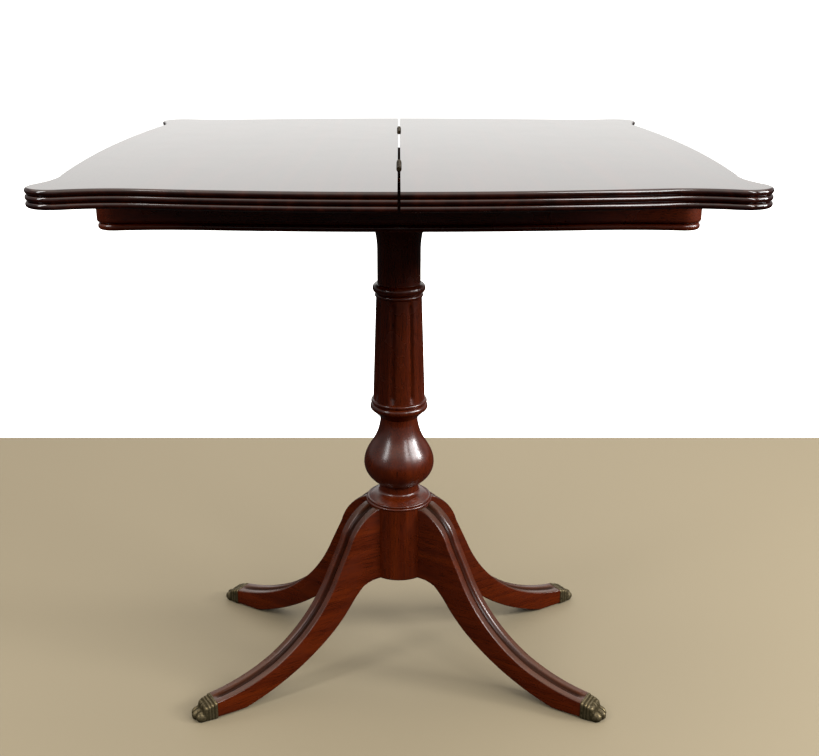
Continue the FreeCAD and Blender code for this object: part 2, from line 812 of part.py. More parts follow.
# Bearers run from rail to rail, and the pedestal block is screwed up into both.
block_screws = []
for turn_x in (-1, 1):
    for step_x in (-0.5, 0.5):
        for step_y in (-0.5, 0.5):
            block_screws.append(screw(
                f"block_screw_{len(block_screws)}", "block_screw_head", "block_screw_radius", "block_screw_length",
                (f"{turn_x} * pivot_place + {step_x} * block_screw_pitch", f"{step_y} * block_screw_spread", "block_bottom"),
            ))
block_screw_group = keep("block_screws", group("block_screws", block_screws))


def bearer(name, side):
    return box(
        name, ("bearer_width", "2 * rail_inside", "bearer_thickness"),
        (f"{side} * pivot_place - bearer_width / 2", "-rail_inside", "bearer_bottom"),
    )


bush_hole = cylinder("bush_hole", bush_radius, "bearer_thickness", (*pivot, "bearer_bottom"))
bored_bearer = cut("pivot_bearer_bored", bearer("pivot_bearer_blank", 1), bush_hole)
keep("pivot_bearer", cut("pivot_bearer", bored_bearer, block_screw_group))
keep("plain_bearer", cut("plain_bearer", bearer("plain_bearer_blank", -1), block_screw_group))

block_blank = box(
    "pedestal_block_blank", ("block_length", "block_depth", "block_thickness"),
    ("-block_length / 2", "-block_depth / 2", "block_bottom"),
)
upper_mortise = cylinder("upper_mortise", "upper_tenon_radius", "upper_tenon_length", ("0", "0", "block_bottom"))
block_bored = cut("pedestal_block_bored", block_blank, upper_mortise)
keep("pedestal_block", cut("pedestal_block", block_bored, block_screw_group))

keep("swivel_stop_block", box(
    "swivel_stop_block",
    ("stop_peg_offset + stop_peg_radius - bearer_width / 2", "stop_block_length", "stop_block_height"),
    ("pivot_place + bearer_width / 2", "stop_block_face - stop_block_length", "bearer_top - stop_block_height"),
))

# The column is one turning. Eight broad reeds run along its tapered shaft from collar to ring.
REEDS = 8
core_foot = "shaft_foot_radius - shaft_core_depth"
core_head = "shaft_head_radius - shaft_core_depth"
rim = "disc_radius - disc_rim_swell"
turning = [
    ("0", "hub_top - lower_tenon_length"),
    ("lower_tenon_radius", "hub_top - lower_tenon_length"),
    ("lower_tenon_radius", "hub_top"),
    (rim, "hub_top"),
    (rim, "disc_top"),
    ("waist_radius", "waist_bottom"),
    ("waist_radius", "waist_top"),
    ("vase_radius", "vase_middle"),
    ("vase_shoulder_radius", "vase_top"),
    ("neck_radius", "neck_bottom"),
    ("neck_radius", "neck_top"),
    ("collar_radius", "collar_bottom"),
    ("collar_radius", "collar_seat"),
    ("collar_radius", "shaft_bottom"),
    (core_foot, "shaft_bottom"),
    (core_head, "shaft_top"),
    ("ring_radius", "shaft_top"),
    ("ring_radius", "ring_seat"),
    ("ring_radius", "drum_bottom"),
    ("drum_radius", "drum_bottom"),
    ("drum_radius", "flare_bottom"),
    ("flare_radius", "block_bottom"),
    ("upper_tenon_radius", "block_bottom"),
    ("upper_tenon_radius", "block_bottom + upper_tenon_length"),
    ("0", "block_bottom + upper_tenon_length"),
]
swells = {
    3: ("disc_rim_swell", 1),
    4: ("disc_cove", -1),
    6: ("vase_bowl_swell", 1),
    7: ("vase_shoulder_swell", 1),
    8: ("vase_neck_hollow", -1),
    11: ("collar_torus_swell", 1),
    12: ("collar_bead_swell", 1),
    16: ("ring_bead_swell", 1),
    17: ("ring_torus_swell", 1),
    20: ("flare_hollow", -1),
}
column_core = turned("column_core", turning, bulges(turning, swells))

reed_tilt = math.degrees(math.atan2(number("shaft_head_radius - shaft_foot_radius"), number("shaft_length")))
reeds = []
for step in range(REEDS):
    around = number("reed_turn") + 360 * step / REEDS
    direction = math.radians(around)
    lean = FreeCAD.Rotation(FreeCAD.Vector(0, 0, 1), around).multiply(
        FreeCAD.Rotation(FreeCAD.Vector(0, 1, 0), reed_tilt))
    reeds.append(cylinder(
        f"reed_{step}", "reed_radius", "shaft_length + reed_foot_sink + reed_head_sink",
        (
            f"(shaft_foot_radius - reed_radius) * {math.cos(direction)}",
            f"(shaft_foot_radius - reed_radius) * {math.sin(direction)}",
            "shaft_bottom - reed_foot_sink",
        ),
        lean,
    ))
keep("column", fuse("column", [column_core] + reeds))

# The hub takes the column's tenon and carries the legs on dowels.
hub_blank = turned(
    "leg_hub_blank",
    [
        ("0", "hub_bottom"),
        ("hub_radius - hub_edge_radius", "hub_bottom"),
        ("hub_radius", "hub_bottom + hub_edge_radius"),
        ("hub_radius", "hub_top"),
        ("lower_tenon_radius", "hub_top"),
        ("lower_tenon_radius", "hub_top - lower_tenon_length"),
        ("0", "hub_top - lower_tenon_length"),
    ],
    {1: ("hub_edge_radius", 1)},
)

LEGS = {
    "front_right": "-leg_angle",
    "rear_right": "leg_angle",
    "rear_left": "180 - leg_angle",
    "front_left": "180 + leg_angle",
}


def stand(item, angle):
    """Swing a piece that was drawn along +X round the column to its leg's direction."""
    turn = FreeCAD.Rotation(FreeCAD.Vector(0, 0, 1), number(angle))
    item.Placement = FreeCAD.Placement(FreeCAD.Vector(), turn.multiply(item.Placement.Rotation))
    return item


def round_column(angle, reach, across="0"):
    """X and Y of a point given along and across a leg."""
    along_x = f"({reach}) * cos(({angle}) * 1 deg) - ({across}) * sin(({angle}) * 1 deg)"
    along_y = f"({reach}) * sin(({angle}) * 1 deg) + ({across}) * cos(({angle}) * 1 deg)"
    return along_x, along_y


dowels = []
for leg, angle in LEGS.items():
    for level in ("dowel_low", "dowel_high"):
        lying = FreeCAD.Rotation(FreeCAD.Vector(0, 0, 1), number(angle)).multiply(ALONG_X)
        start = round_column(angle, "hub_radius - dowel_length / 2")
        dowels.append(cylinder(f"dowel_{len(dowels)}", "dowel_radius", "dowel_length", (*start, level), lying))
dowel_group = keep("leg_dowels", group("leg_dowels", dowels))

hub_screws = []
for step in range(4):
    spot = round_column(f"90 * {step}", "hub_screw_circle")
    hub_screws.append(screw(
        f"hub_screw_{step}", "hub_screw_head", "hub_screw_radius", "hub_screw_length",
        (*spot, "hub_bottom - hub_plate_thickness"),
    ))
hub_screw_group = keep("hub_plate_screws", group("hub_plate_screws", hub_screws))
plate_blank = cylinder(
    "hub_plate_blank", "hub_plate_radius", "hub_plate_thickness", ("0", "0", "hub_bottom - hub_plate_thickness"),
)
keep("hub_plate", cut("hub_plate", plate_blank, hub_screw_group))
hub_doweled = cut("leg_hub_doweled", hub_blank, dowel_group)
keep("leg_hub", cut("leg_hub", hub_doweled, hub_screw_group))

# A sabre leg: its side view, cut to a taper in plan. A wide channel leaves a bead along both top edges.
leg_root = "hub_radius / 2"
side_view = [
    (leg_root, "hub_top"),
    ("knee_start", "hub_top"),
    ("knee_radius", "knee_height"),
    ("shin_radius", "shin_height"),
    ("arch_radius", "arch_height"),
    ("leg_end", "leg_end_height"),
    ("leg_end", "leg_end_bottom"),
    ("sole_start", "leg_end_bottom"),
    ("calf_radius", "calf_height"),
    ("hub_radius", "hub_bottom"),
    (leg_root, "hub_bottom"),
]
side_swells = {
    1: ("knee_swell", -1),
    3: ("sweep_depth", 1),
    4: ("instep_depth", 1),
    7: ("calf_depth", -1),
    8: ("calf_cove", 1),
}
channel_shift = "(channel_depth * 3 / 4)"
channel_top = [(f"{x} - {channel_shift}", f"{z} - {channel_shift}") for x, z in side_view[1:5]]
channel_end = ("leg_end + channel_depth", f"leg_end_height - {channel_shift}")
channel_view = channel_top + [channel_end, ("leg_end + channel_depth", "hub_top"), ("knee_radius", "hub_top")]
channel_swells = {0: ("knee_swell", -1), 2: ("sweep_depth", 1), 3: ("instep_depth", 1)}

# The toe cap's side view, over a tongue on the leg's end.
toe_view = [
    ("leg_end", "0"),
    ("toe_tip - toe_sole_inset", "0"),
    ("toe_tip", "toe_nail_height"),
    ("toe_top_radius", "toe_top_height"),
    ("toe_brow_radius + toe_notch", "toe_top_height"),
    ("toe_brow_radius", "toe_brow_height"),
    ("leg_end", "leg_end_height"),
]
toe_swells = {1: ("toe_nail_swell", 1), 2: ("toe_top_swell", 1), 5: ("toe_brow_swell", 1)}
# In plan the cap ends in three toes.
toe_root = "toe_tip - toe_lobe_swell"
toe_plan = [
    ("leg_end", "-toe_width / 2"),
    ("toe_brow_radius", "-toe_width / 2"),
    (toe_root, "-toe_lobe_width / 2"),
    (toe_root, "toe_lobe_width / 2"),
    ("toe_brow_radius", "toe_width / 2"),
    ("leg_end", "toe_width / 2"),
]
lobe_swells = {1: ("toe_side_lobe_swell", 1), 2: ("toe_lobe_swell", 1), 3: ("toe_side_lobe_swell", 1)}
tongue_height = "(toe_brow_height - 2 * toe_wall)"
tongue_width = "(toe_width - 2 * toe_wall)"
toe_pins = []
for leg, angle in LEGS.items():
    side = extruded(f"{leg}_side", side_view, bulges(side_view, side_swells), "leg_root_width", "XZ_Plane", True)
    plan = extruded(
        f"{leg}_plan",
        [
            (leg_root, "-leg_root_width / 2"),
            ("leg_end", "-leg_toe_width / 2"),
            ("leg_end", "leg_toe_width / 2"),
            (leg_root, "leg_root_width / 2"),
        ],
        None, "hub_top",
    )
    run = extruded(
        f"{leg}_channel_run", channel_view, bulges(channel_view, channel_swells), "channel_width", "XZ_Plane", True)
    toe_half = "leg_toe_width / 2 - leg_bead_width"
    channel_plan = extruded(
        f"{leg}_channel_plan",
        [
            (leg_root, "-channel_width / 2"),
            ("leg_end + channel_depth", f"-({toe_half})"),
            ("leg_end + channel_depth", toe_half),
            (leg_root, "channel_width / 2"),
        ],
        None, "2 * hub_top",
    )
    channel = common(f"{leg}_channel", run, channel_plan)
    hub_space = cylinder(f"{leg}_hub_space", "hub_radius", "hub_top", ("0", "0", "0"))
    tongue = box(
        f"{leg}_tongue", ("toe_tongue_end - leg_end", tongue_width, tongue_height),
        ("leg_end", f"-{tongue_width} / 2", "toe_wall"),
    )
    blank = cut(f"{leg}_channelled", common(f"{leg}_tapered", side, plan), channel)
    coped = cut(f"{leg}_coped", blank, hub_space)
    shaped = stand(fuse(f"{leg}_shaped", [coped, tongue]), angle)

    cap_side = extruded(f"{leg}_cap_side", toe_view, bulges(toe_view, toe_swells), "toe_width", "XZ_Plane", True)
    cap_plan = extruded(f"{leg}_cap_plan", toe_plan, bulges(toe_plan, lobe_swells), "leg_end_height")
    cap = common(f"{leg}_cap", cap_side, cap_plan)
    bands = []
    for step, (offset, width) in enumerate((("0", "toe_collar"), ("toe_ridge_offset", "toe_ridge_width"))):
        slope = "(leg_end_height - toe_brow_height) / (toe_brow_radius - leg_end)"
        bands.append(box(
            f"{leg}_band_{step}",
            (width, "toe_width + 2 * toe_collar_proud", f"leg_end_height - {slope} * {offset} + toe_collar_proud"),
            (f"leg_end + {offset}", "-toe_width / 2 - toe_collar_proud", "0"),
        ))
    socket = box(
        f"{leg}_socket", ("toe_tongue_end - leg_end", tongue_width, tongue_height),
        ("leg_end", f"-{tongue_width} / 2", "toe_wall"),
    )
    cap_solid = fuse(f"{leg}_cap_solid", [cap] + bands)
    hollow = stand(cut(f"{leg}_cap_hollow", cap_solid, socket), angle)

    across = "-toe_width / 2 - toe_collar_proud"
    spot = round_column(angle, "leg_end + toe_collar / 2", across)
    lying = FreeCAD.Rotation(FreeCAD.Vector(0, 0, 1), number(angle)).multiply(ALONG_Y)
    pin = cylinder(
        f"{leg}_pin", "toe_pin_radius", "toe_pin_length", (*spot, f"toe_wall + {tongue_height} / 2"), lying)
    toe_pins.append(pin)
    doweled = cut(f"{leg}_doweled", shaped, dowel_group)
    keep(f"leg_{leg}", cut(f"leg_{leg}", doweled, pin))
    keep(f"toe_cap_{leg}", cut(f"toe_cap_{leg}", hollow, pin))
keep("toe_cap_pins", group("toe_cap_pins", toe_pins))


# Recompute, make sure that nothing failed, and write one file for each piece.
doc.recompute()
for item in doc.Objects:
    if "Invalid" in item.State or "Error" in item.State:
        raise RuntimeError(f"{item.Label} failed: {item.State}")
os.makedirs("parts", exist_ok=True)
for name, item in PIECES.items():
    shape = item.Shape
    if shape.isNull() or not shape.isValid() or not shape.Solids:
        raise RuntimeError(f"{name} has no valid solid")
    shape.exportStep(f"parts/{name}.step")
print(f"wrote {len(PIECES)} pieces")
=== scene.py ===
# %% [markdown]
# # A flip-top table in polished mahogany
# The table stands open: two serpentine leaves meet at a seam, turn on an off-centre pivot and fold on
# brass hinges. Under them come a shallow apron, a turned column and four sabre legs in brass toes.
# The solids of the joinery are loaded first. They keep their places, and this lesson dresses them.

# %% Load the joinery
import json
import math

import bmesh
import bpy
from mathutils import Matrix, Vector

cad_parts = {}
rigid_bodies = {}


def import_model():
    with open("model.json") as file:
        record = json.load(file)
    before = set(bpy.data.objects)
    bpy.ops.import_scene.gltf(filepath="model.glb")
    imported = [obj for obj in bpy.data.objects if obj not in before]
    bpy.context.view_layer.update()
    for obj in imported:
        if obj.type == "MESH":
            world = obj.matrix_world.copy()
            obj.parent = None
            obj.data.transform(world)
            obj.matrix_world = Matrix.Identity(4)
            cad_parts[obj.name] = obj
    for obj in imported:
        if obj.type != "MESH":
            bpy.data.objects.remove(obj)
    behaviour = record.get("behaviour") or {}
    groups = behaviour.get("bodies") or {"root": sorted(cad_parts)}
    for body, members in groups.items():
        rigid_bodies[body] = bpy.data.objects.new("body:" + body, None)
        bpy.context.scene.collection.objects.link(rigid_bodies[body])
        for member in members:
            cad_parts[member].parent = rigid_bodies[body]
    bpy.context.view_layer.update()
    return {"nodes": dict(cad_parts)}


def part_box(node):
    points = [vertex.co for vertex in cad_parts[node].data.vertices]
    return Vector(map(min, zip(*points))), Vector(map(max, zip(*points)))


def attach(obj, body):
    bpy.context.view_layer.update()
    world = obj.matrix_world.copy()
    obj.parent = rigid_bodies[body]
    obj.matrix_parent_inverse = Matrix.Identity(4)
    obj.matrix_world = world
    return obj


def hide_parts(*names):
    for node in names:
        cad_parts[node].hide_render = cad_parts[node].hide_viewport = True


for leftover in list(bpy.data.objects):
    bpy.data.objects.remove(leftover)
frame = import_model()
nodes = frame["nodes"]
print("pieces of joinery:", len(nodes))

# %% [markdown]
# ## Camera
# The photograph was taken a little above the top, from the front, with the lens tilted down. The column's
# axis stands slightly left of the picture's centre, so the lens is shifted by that much and no more.

# %% Camera
PICTURE_WIDTH = 819
FOCAL_PIXELS = 1105.2
AXIS_PIXEL = 399.0
SENSOR_MM = 36.0
TILT_DOWN = 18.40
EYE_PLACE = (0, -1.4293, 0.9042)
eye = bpy.data.cameras.new("photograph_view")
eye.sensor_fit = "HORIZONTAL"
eye.sensor_width = SENSOR_MM
eye.lens = FOCAL_PIXELS / PICTURE_WIDTH * SENSOR_MM
eye.shift_x = (PICTURE_WIDTH / 2 - AXIS_PIXEL) / PICTURE_WIDTH
camera = bpy.data.objects.new("photograph_view", eye)
camera.location = EYE_PLACE
camera.rotation_euler = (math.radians(90 - TILT_DOWN), 0, 0)
bpy.context.scene.collection.objects.link(camera)
bpy.context.scene.camera = camera
print("lens in mm:", round(eye.lens, 2))

# %% [markdown]
# ## Helpers for colour and shader nodes
# Colours are written as they look on a screen and turned to linear light, which is what shaders add up.
# One small function adds any node, with its settings, its fixed inputs and its links.

# %% Colour and node helpers
MM = 0.001


def linear(hex_colour):
    """A screen colour such as #7a2a12 as linear red, green, blue and alpha."""
    parts = [int(hex_colour[i:i + 2], 16) / 255 for i in (1, 3, 5)]
    return [c / 12.92 if c <= 0.04045 else ((c + 0.055) / 1.055) ** 2.4 for c in parts] + [1.0]


def add(tree, kind, inputs=None, links=None, **settings):
    """Add a node: settings are its own properties, inputs fixed values, links other nodes' outputs."""
    node = tree.nodes.new(kind)
    for name, value in settings.items():
        setattr(node, name, value)
    for socket, value in (inputs or {}).items():
        node.inputs[socket].default_value = value
    for socket, source in (links or {}).items():
        tree.links.new(source, node.inputs[socket])
    return node


def new_material(name):
    """An empty node material with its Principled shader ready."""
    material = bpy.data.materials.new(name)
    material.use_nodes = True
    tree = material.node_tree
    return material, tree, tree.nodes["Principled BSDF"]


print("middle grey in linear light:", round(linear("#808080")[0], 3))

# %% [markdown]
# ## Studio floor
# A plain pale floor ends behind the table and white paper lies beyond it, so the far edge is a clean line,
# as in the photograph. Both are flat grids. The floor's matt paint scatters light evenly, so it takes soft
# shadows and no reflections. The paper glows a little, because white that is only lit would come out grey.

# %% Floor and white paper
FLOOR_START = -1.3
FLOOR_END = 0.868
FLOOR_REACH = 5.0
FLOOR_TONE = "#736954"
FLOOR_ROUGHNESS = 0.7
PAPER_GLOW = 1.1


def flat_sheet(name, near, far):
    """A studio sheet on the ground between two distances."""
    drawn = bmesh.new()
    bmesh.ops.create_grid(drawn, x_segments=1, y_segments=1, size=1)
    bmesh.ops.scale(drawn, vec=(FLOOR_REACH, (far - near) / 2, 1), verts=drawn.verts)
    bmesh.ops.translate(drawn, vec=(0, (far + near) / 2, 0), verts=drawn.verts)
    data = bpy.data.meshes.new(name)
    drawn.to_mesh(data)
    drawn.free()
    sheet = bpy.data.objects.new(name, data)
    bpy.context.scene.collection.objects.link(sheet)
    return sheet


floor = flat_sheet("studio_floor", FLOOR_START, FLOOR_END)
floor_paint, tree, shader = new_material("matt_floor_paint")
shader.inputs["Base Color"].default_value = linear(FLOOR_TONE)
shader.inputs["Roughness"].default_value = FLOOR_ROUGHNESS
floor.data.materials.append(floor_paint)
paper = flat_sheet("studio_paper", FLOOR_END, FLOOR_REACH)
white_paper, tree, shader = new_material("white_paper")
shader.inputs["Emission Color"].default_value = linear("#ffffff")
shader.inputs["Emission Strength"].default_value = PAPER_GLOW
paper.data.materials.append(white_paper)
# the ground neither shows in the polish nor throws light back up, so the darks under the top stay dark
for sheet in (floor, paper):
    sheet.visible_glossy = False
    sheet.visible_diffuse = False
print("depth of the floor in m:", round(FLOOR_END - FLOOR_START, 3))

# %% [markdown]
# ## Studio light
# The polished top is seen at a low angle, so it mirrors what stands behind it: a white backdrop, which lies
# only above the horizon and a little to either side. The ceiling is bright and the walls are dim, so light
# comes from above. That leaves the apron and the column's head dark under the top, and brings the legs out.
# A world made of these few zones does all this without a built room.

# %% Room of light
GROUND = (0.03, 0.03, 0.03, 1)
WALL = (0.36, 0.36, 0.36, 1)
CEILING = (2.1, 1.97, 1.78, 1)
BACKDROP = (1.28, 1.27, 1.24, 1)
# each zone fades in between two values: the ceiling and the horizon by the height of the direction,
# the backdrop by its angle to either side
CEILING_EDGE = (0.42, 0.80)
HORIZON_EDGE = (-0.02, 0.06)
BACKDROP_EDGE = (math.radians(29), math.radians(22))
world = bpy.data.worlds.new("studio_light")
world.use_nodes = True
bpy.context.scene.world = world
tree = world.node_tree
direction = add(tree, "ShaderNodeTexCoord")
split = add(tree, "ShaderNodeSeparateXYZ", links={0: direction.outputs["Generated"]})
height = add(
    tree, "ShaderNodeMapRange", {1: CEILING_EDGE[0], 2: CEILING_EDGE[1]}, {0: split.outputs["Z"]},
    interpolation_type="SMOOTHSTEP")
bearing = add(
    tree, "ShaderNodeMath", links={0: split.outputs["X"], 1: split.outputs["Y"]}, operation="ARCTAN2")
aside = add(tree, "ShaderNodeMath", links={0: bearing.outputs[0]}, operation="ABSOLUTE")
behind = add(
    tree, "ShaderNodeMapRange", {1: BACKDROP_EDGE[0], 2: BACKDROP_EDGE[1]}, {0: aside.outputs[0]},
    interpolation_type="SMOOTHSTEP")
horizon = add(
    tree, "ShaderNodeMapRange", {1: HORIZON_EDGE[0], 2: HORIZON_EDGE[1]}, {0: split.outputs["Z"]})
paper_share = add(
    tree, "ShaderNodeMath", links={0: behind.outputs[0], 1: horizon.outputs[0]}, operation="MULTIPLY")
walls = add(tree, "ShaderNodeMix", {6: GROUND, 7: WALL}, {0: horizon.outputs[0]}, data_type="RGBA")
room = add(
    tree, "ShaderNodeMix", {7: CEILING}, {0: height.outputs[0], 6: walls.outputs[2]}, data_type="RGBA")
whole = add(
    tree, "ShaderNodeMix", {7: BACKDROP}, {0: paper_share.outputs[0], 6: room.outputs[2]}, data_type="RGBA")
# seen straight on, the room is white all round, whichever side the table is looked at from
sight = add(tree, "ShaderNodeLightPath")
seen = add(
    tree, "ShaderNodeMix", {7: BACKDROP}, {0: sight.outputs["Is Camera Ray"], 6: whole.outputs[2]},
    data_type="RGBA")
tree.links.new(seen.outputs[2], tree.nodes["Background"].inputs["Color"])
print("nodes in the room of light:", len(tree.nodes))

# %% [markdown]
# ## Windows
# Soft rectangles of light stand in for the room's windows. Two tall ones give the turned vase its two
# highlights. A broad one and a low one on the right reach under the top to the apron's end and the legs. The
# one behind lights the floor there and is kept out of reflections, or it would show as a band in the top.

# %% Windows
VASE_MIDDLE = (0, 0, 0.32)


def window(name, place, target, size, power, mirrored=True):
    """A rectangular soft light that faces a target; mirrored says whether it shows in the polish."""
    light = bpy.data.lights.new(name, "AREA")
    light.shape = "RECTANGLE"
    light.size, light.size_y = size
    light.energy = power
    pane = bpy.data.objects.new(name, light)
    pane.location = place
    aim = Vector(target) - Vector(place)
    pane.rotation_euler = aim.to_track_quat("-Z", "Y").to_euler()
    pane.visible_glossy = mirrored
    bpy.context.scene.collection.objects.link(pane)


# place and target in m, width and height of the pane in m, power in watts
window("right_window", (1.14, -1.70, 2.2), VASE_MIDDLE, (0.37, 1.75), 37)
window("left_window", (-1.65, -1.24, 2.1), VASE_MIDDLE, (0.46, 1.75), 39)
window("side_window", (2.41, -1.15, 1.85), (0.2, -0.1, 0.6), (1.3, 1.0), 76)
window("low_window", (2.6, -0.45, 1.40), (0, 0, 0.48), (0.5, 0.5), 60)
window("back_window", (0, 1.3, 2.6), (0, 0.6, 0), (3.0, 0.8), 32, mirrored=False)
print("windows:", len(bpy.data.lights))

# %% [markdown]
# ## Print
# The photograph's darks sink to black. The plain view transform keeps the whites white, and a little is
# taken off all over with the black level, as a printer would do.

# %% Black level
BLACK_LEVEL = 0.001
print_look = bpy.context.scene.view_settings
print_look.view_transform = "Standard"
print_look.use_curve_mapping = True
print_look.curve_mapping.black_level = (BLACK_LEVEL, BLACK_LEVEL, BLACK_LEVEL)
print_look.curve_mapping.update()
print("view transform:", print_look.view_transform)

# %% [markdown]
# ## French-polished mahogany
# Mahogany is a red-brown wood with fine open pores and a soft ribbon stripe. French polish is shellac rubbed
# on in many thin coats: it darkens the wood and leaves a clear gloss. The stripe is a noise stretched along
# the grain, the pores are a finer one that darkens and slightly dents the surface. Hand polish is uneven over
# a few centimetres, so a third noise changes the gloss. The rails were left bare on their upper edges, and
# old dust in the wax has dulled the legs where they look up. The legs' hollows get painted shade: their
# colour is darker and their gloss is lower.

# %% Mahogany
GRAIN_TURN = {"X": (0, 0, 0), "Y": (0, 0, -90), "Z": (0, 90, 0)}
# lengths and widths in mm; pores are 0.3 mm wide on the real wood, drawn wider so that they show
STRIPE_LENGTH = 400
STRIPE_WIDTH = 14
PORE_LENGTH = 18
PORE_WIDTH = 0.8
RUB_SIZE = 45
DUST_TONE = "#372a1f"
DUST_COVER = 0.55
FULL_SHINE = 0.5


def polished_mahogany(name, grain, tones, gloss, turn=0.0, bare_top=False, dust_and_painted_shade=False):
    """Mahogany with its grain along an axis, turned about Z. Bare tops are dull; legs get dust and painted
    shade.
    """
    material, tree, shader = new_material(name)
    where = add(tree, "ShaderNodeTexCoord")
    unturned = add(
        tree, "ShaderNodeMapping", {"Rotation": (0, 0, math.radians(-turn))},
        {"Vector": where.outputs["Object"]})
    along = add(
        tree, "ShaderNodeMapping", {"Rotation": [math.radians(a) for a in GRAIN_TURN[grain]]},
        {"Vector": unturned.outputs["Vector"]})
    across_stripes = 1 / (STRIPE_WIDTH * MM)
    stripe_space = add(
        tree, "ShaderNodeMapping", {"Scale": (1 / (STRIPE_LENGTH * MM), across_stripes, across_stripes)},
        {"Vector": along.outputs["Vector"]})
    stripe = add(
        tree, "ShaderNodeTexNoise", {"Scale": 1.0, "Detail": 5.0, "Roughness": 0.6, "Distortion": 0.5},
        {"Vector": stripe_space.outputs["Vector"]})
    figure = add(tree, "ShaderNodeValToRGB", links={"Fac": stripe.outputs["Fac"]})
    figure.color_ramp.elements[0].position = 0.30
    figure.color_ramp.elements[0].color = linear(tones[0])
    figure.color_ramp.elements[1].position = 0.72
    figure.color_ramp.elements[1].color = linear(tones[2])
    figure.color_ramp.elements.new(0.52).color = linear(tones[1])
    across_pores = 1 / (PORE_WIDTH * MM)
    pore_space = add(
        tree, "ShaderNodeMapping", {"Scale": (1 / (PORE_LENGTH * MM), across_pores, across_pores)},
        {"Vector": along.outputs["Vector"]})
    pores = add(
        tree, "ShaderNodeTexNoise", {"Scale": 1.0, "Detail": 2.0, "Roughness": 0.5},
        {"Vector": pore_space.outputs["Vector"]})
    pore_mask = add(
        tree, "ShaderNodeMapRange", {1: 0.36, 2: 0.48, 3: 0.5, 4: 1.0}, {0: pores.outputs["Fac"]})
    wood = add(
        tree, "ShaderNodeMix", {0: 1.0}, {6: figure.outputs["Color"], 7: pore_mask.outputs[0]},
        data_type="RGBA", blend_type="MULTIPLY")
    tree.links.new(wood.outputs[2], shader.inputs["Base Color"])
    if dust_and_painted_shade:
        hollow = add(tree, "ShaderNodeAttribute", attribute_name="sunk")
        facing = add(tree, "ShaderNodeSeparateXYZ", links={0: where.outputs["Normal"]})
        # old dust in the wax greys the faces that look up
        dust = add(
            tree, "ShaderNodeMapRange", {1: 0.2, 2: 0.8, 3: 0.0, 4: DUST_COVER}, {0: facing.outputs["Z"]})
        dusty = add(
            tree, "ShaderNodeMix", {7: linear(DUST_TONE)}, {0: dust.outputs[0], 6: wood.outputs[2]},
            data_type="RGBA")
        # painted shade: the colour in the hollow is darkened, down to 0.35 at its deepest, and its gloss is
        # lowered
        shade = add(tree, "ShaderNodeMapRange", {2: 0.7, 3: 1.0, 4: 0.35}, {0: hollow.outputs["Fac"]})
        darkened = add(
            tree, "ShaderNodeMix", {0: 1.0}, {6: dusty.outputs[2], 7: shade.outputs[0]},
            data_type="RGBA", blend_type="MULTIPLY")
        tree.links.new(darkened.outputs[2], shader.inputs["Base Color"])
        shine = add(
            tree, "ShaderNodeMapRange", {1: 0.0, 2: 0.4, 3: FULL_SHINE, 4: 0.08}, {0: hollow.outputs["Fac"]})
        matt = add(
            tree, "ShaderNodeMapRange", {1: 0.0, 2: DUST_COVER, 3: 1.0, 4: 0.6}, {0: dust.outputs[0]})
        worn_shine = add(
            tree, "ShaderNodeMath", links={0: shine.outputs[0], 1: matt.outputs[0]}, operation="MULTIPLY")
        tree.links.new(worn_shine.outputs[0], shader.inputs["Specular IOR Level"])
    rub = add(
        tree, "ShaderNodeTexNoise", {"Scale": 1 / (RUB_SIZE * MM), "Detail": 3.0},
        {"Vector": where.outputs["Object"]})
    sheen = add(
        tree, "ShaderNodeMapRange", {1: 0.3, 2: 0.7, 3: gloss[0], 4: gloss[1]}, {0: rub.outputs["Fac"]})
    tree.links.new(sheen.outputs[0], shader.inputs["Roughness"])
    dents = add(
        tree, "ShaderNodeBump", {"Strength": 0.06, "Distance": 0.2 * MM}, {"Height": pores.outputs["Fac"]})
    tree.links.new(dents.outputs["Normal"], shader.inputs["Normal"])
    if bare_top:
        facing = add(tree, "ShaderNodeSeparateXYZ", links={0: where.outputs["Normal"]})
        shine = add(
            tree, "ShaderNodeMapRange", {1: 0.90, 2: 0.98, 3: FULL_SHINE, 4: 0.0}, {0: facing.outputs["Z"]})
        tree.links.new(shine.outputs[0], shader.inputs["Specular IOR Level"])
    return material


# %% [markdown]
# ## Polished leaves, rails and hub
# The leaves have the darkest stain and the highest gloss, as the part of a table that is looked at most. The
# rails and the base are redder. On each piece the grain runs as its plank was cut: along the seam on the
# leaves, lengthwise on a rail, upright in the hub. These pieces keep the shape of their joinery.

# %% Polish the leaves, the rails and the hub
TOP_TONES = ("#140604", "#200a06", "#30120a")
BASE_TONES = ("#3a1003", "#461604", "#521c04")
TOP_GLOSS = (0.07, 0.10)
BASE_GLOSS = (0.22, 0.32)


def dress(material, *names):
    """Give the named pieces of joinery a finish."""
    for name in names:
        nodes[name].data.materials.clear()
        nodes[name].data.materials.append(material)


dress(
    polished_mahogany("french_polished_mahogany_top", "Y", TOP_TONES, TOP_GLOSS), "fixed_leaf", "flip_leaf")
dress(
    polished_mahogany("french_polished_mahogany_rail", "X", BASE_TONES, BASE_GLOSS, bare_top=True),
    "apron_front", "apron_back", "apron_bead_front", "apron_bead_back")
dress(
    polished_mahogany("french_polished_mahogany_end_rail", "Y", BASE_TONES, BASE_GLOSS, bare_top=True),
    "apron_left", "apron_right", "apron_bead_left", "apron_bead_right")
dress(polished_mahogany("french_polished_mahogany_hub", "Z", BASE_TONES, BASE_GLOSS), "leg_hub")
print("mahogany on:", [name for name in nodes if nodes[name].data.materials])

# %% [markdown]
# ## Sabre legs
# A sabre leg is bandsawn from a plank to its swept side view, and smoothed with a spokeshave. Here the side
# view is drawn in the same order, as straight runs and arcs, because a spun arc keeps its curve exactly,
# which points set by eye would not. A few rounds of smoothing take off the corner behind the calf.

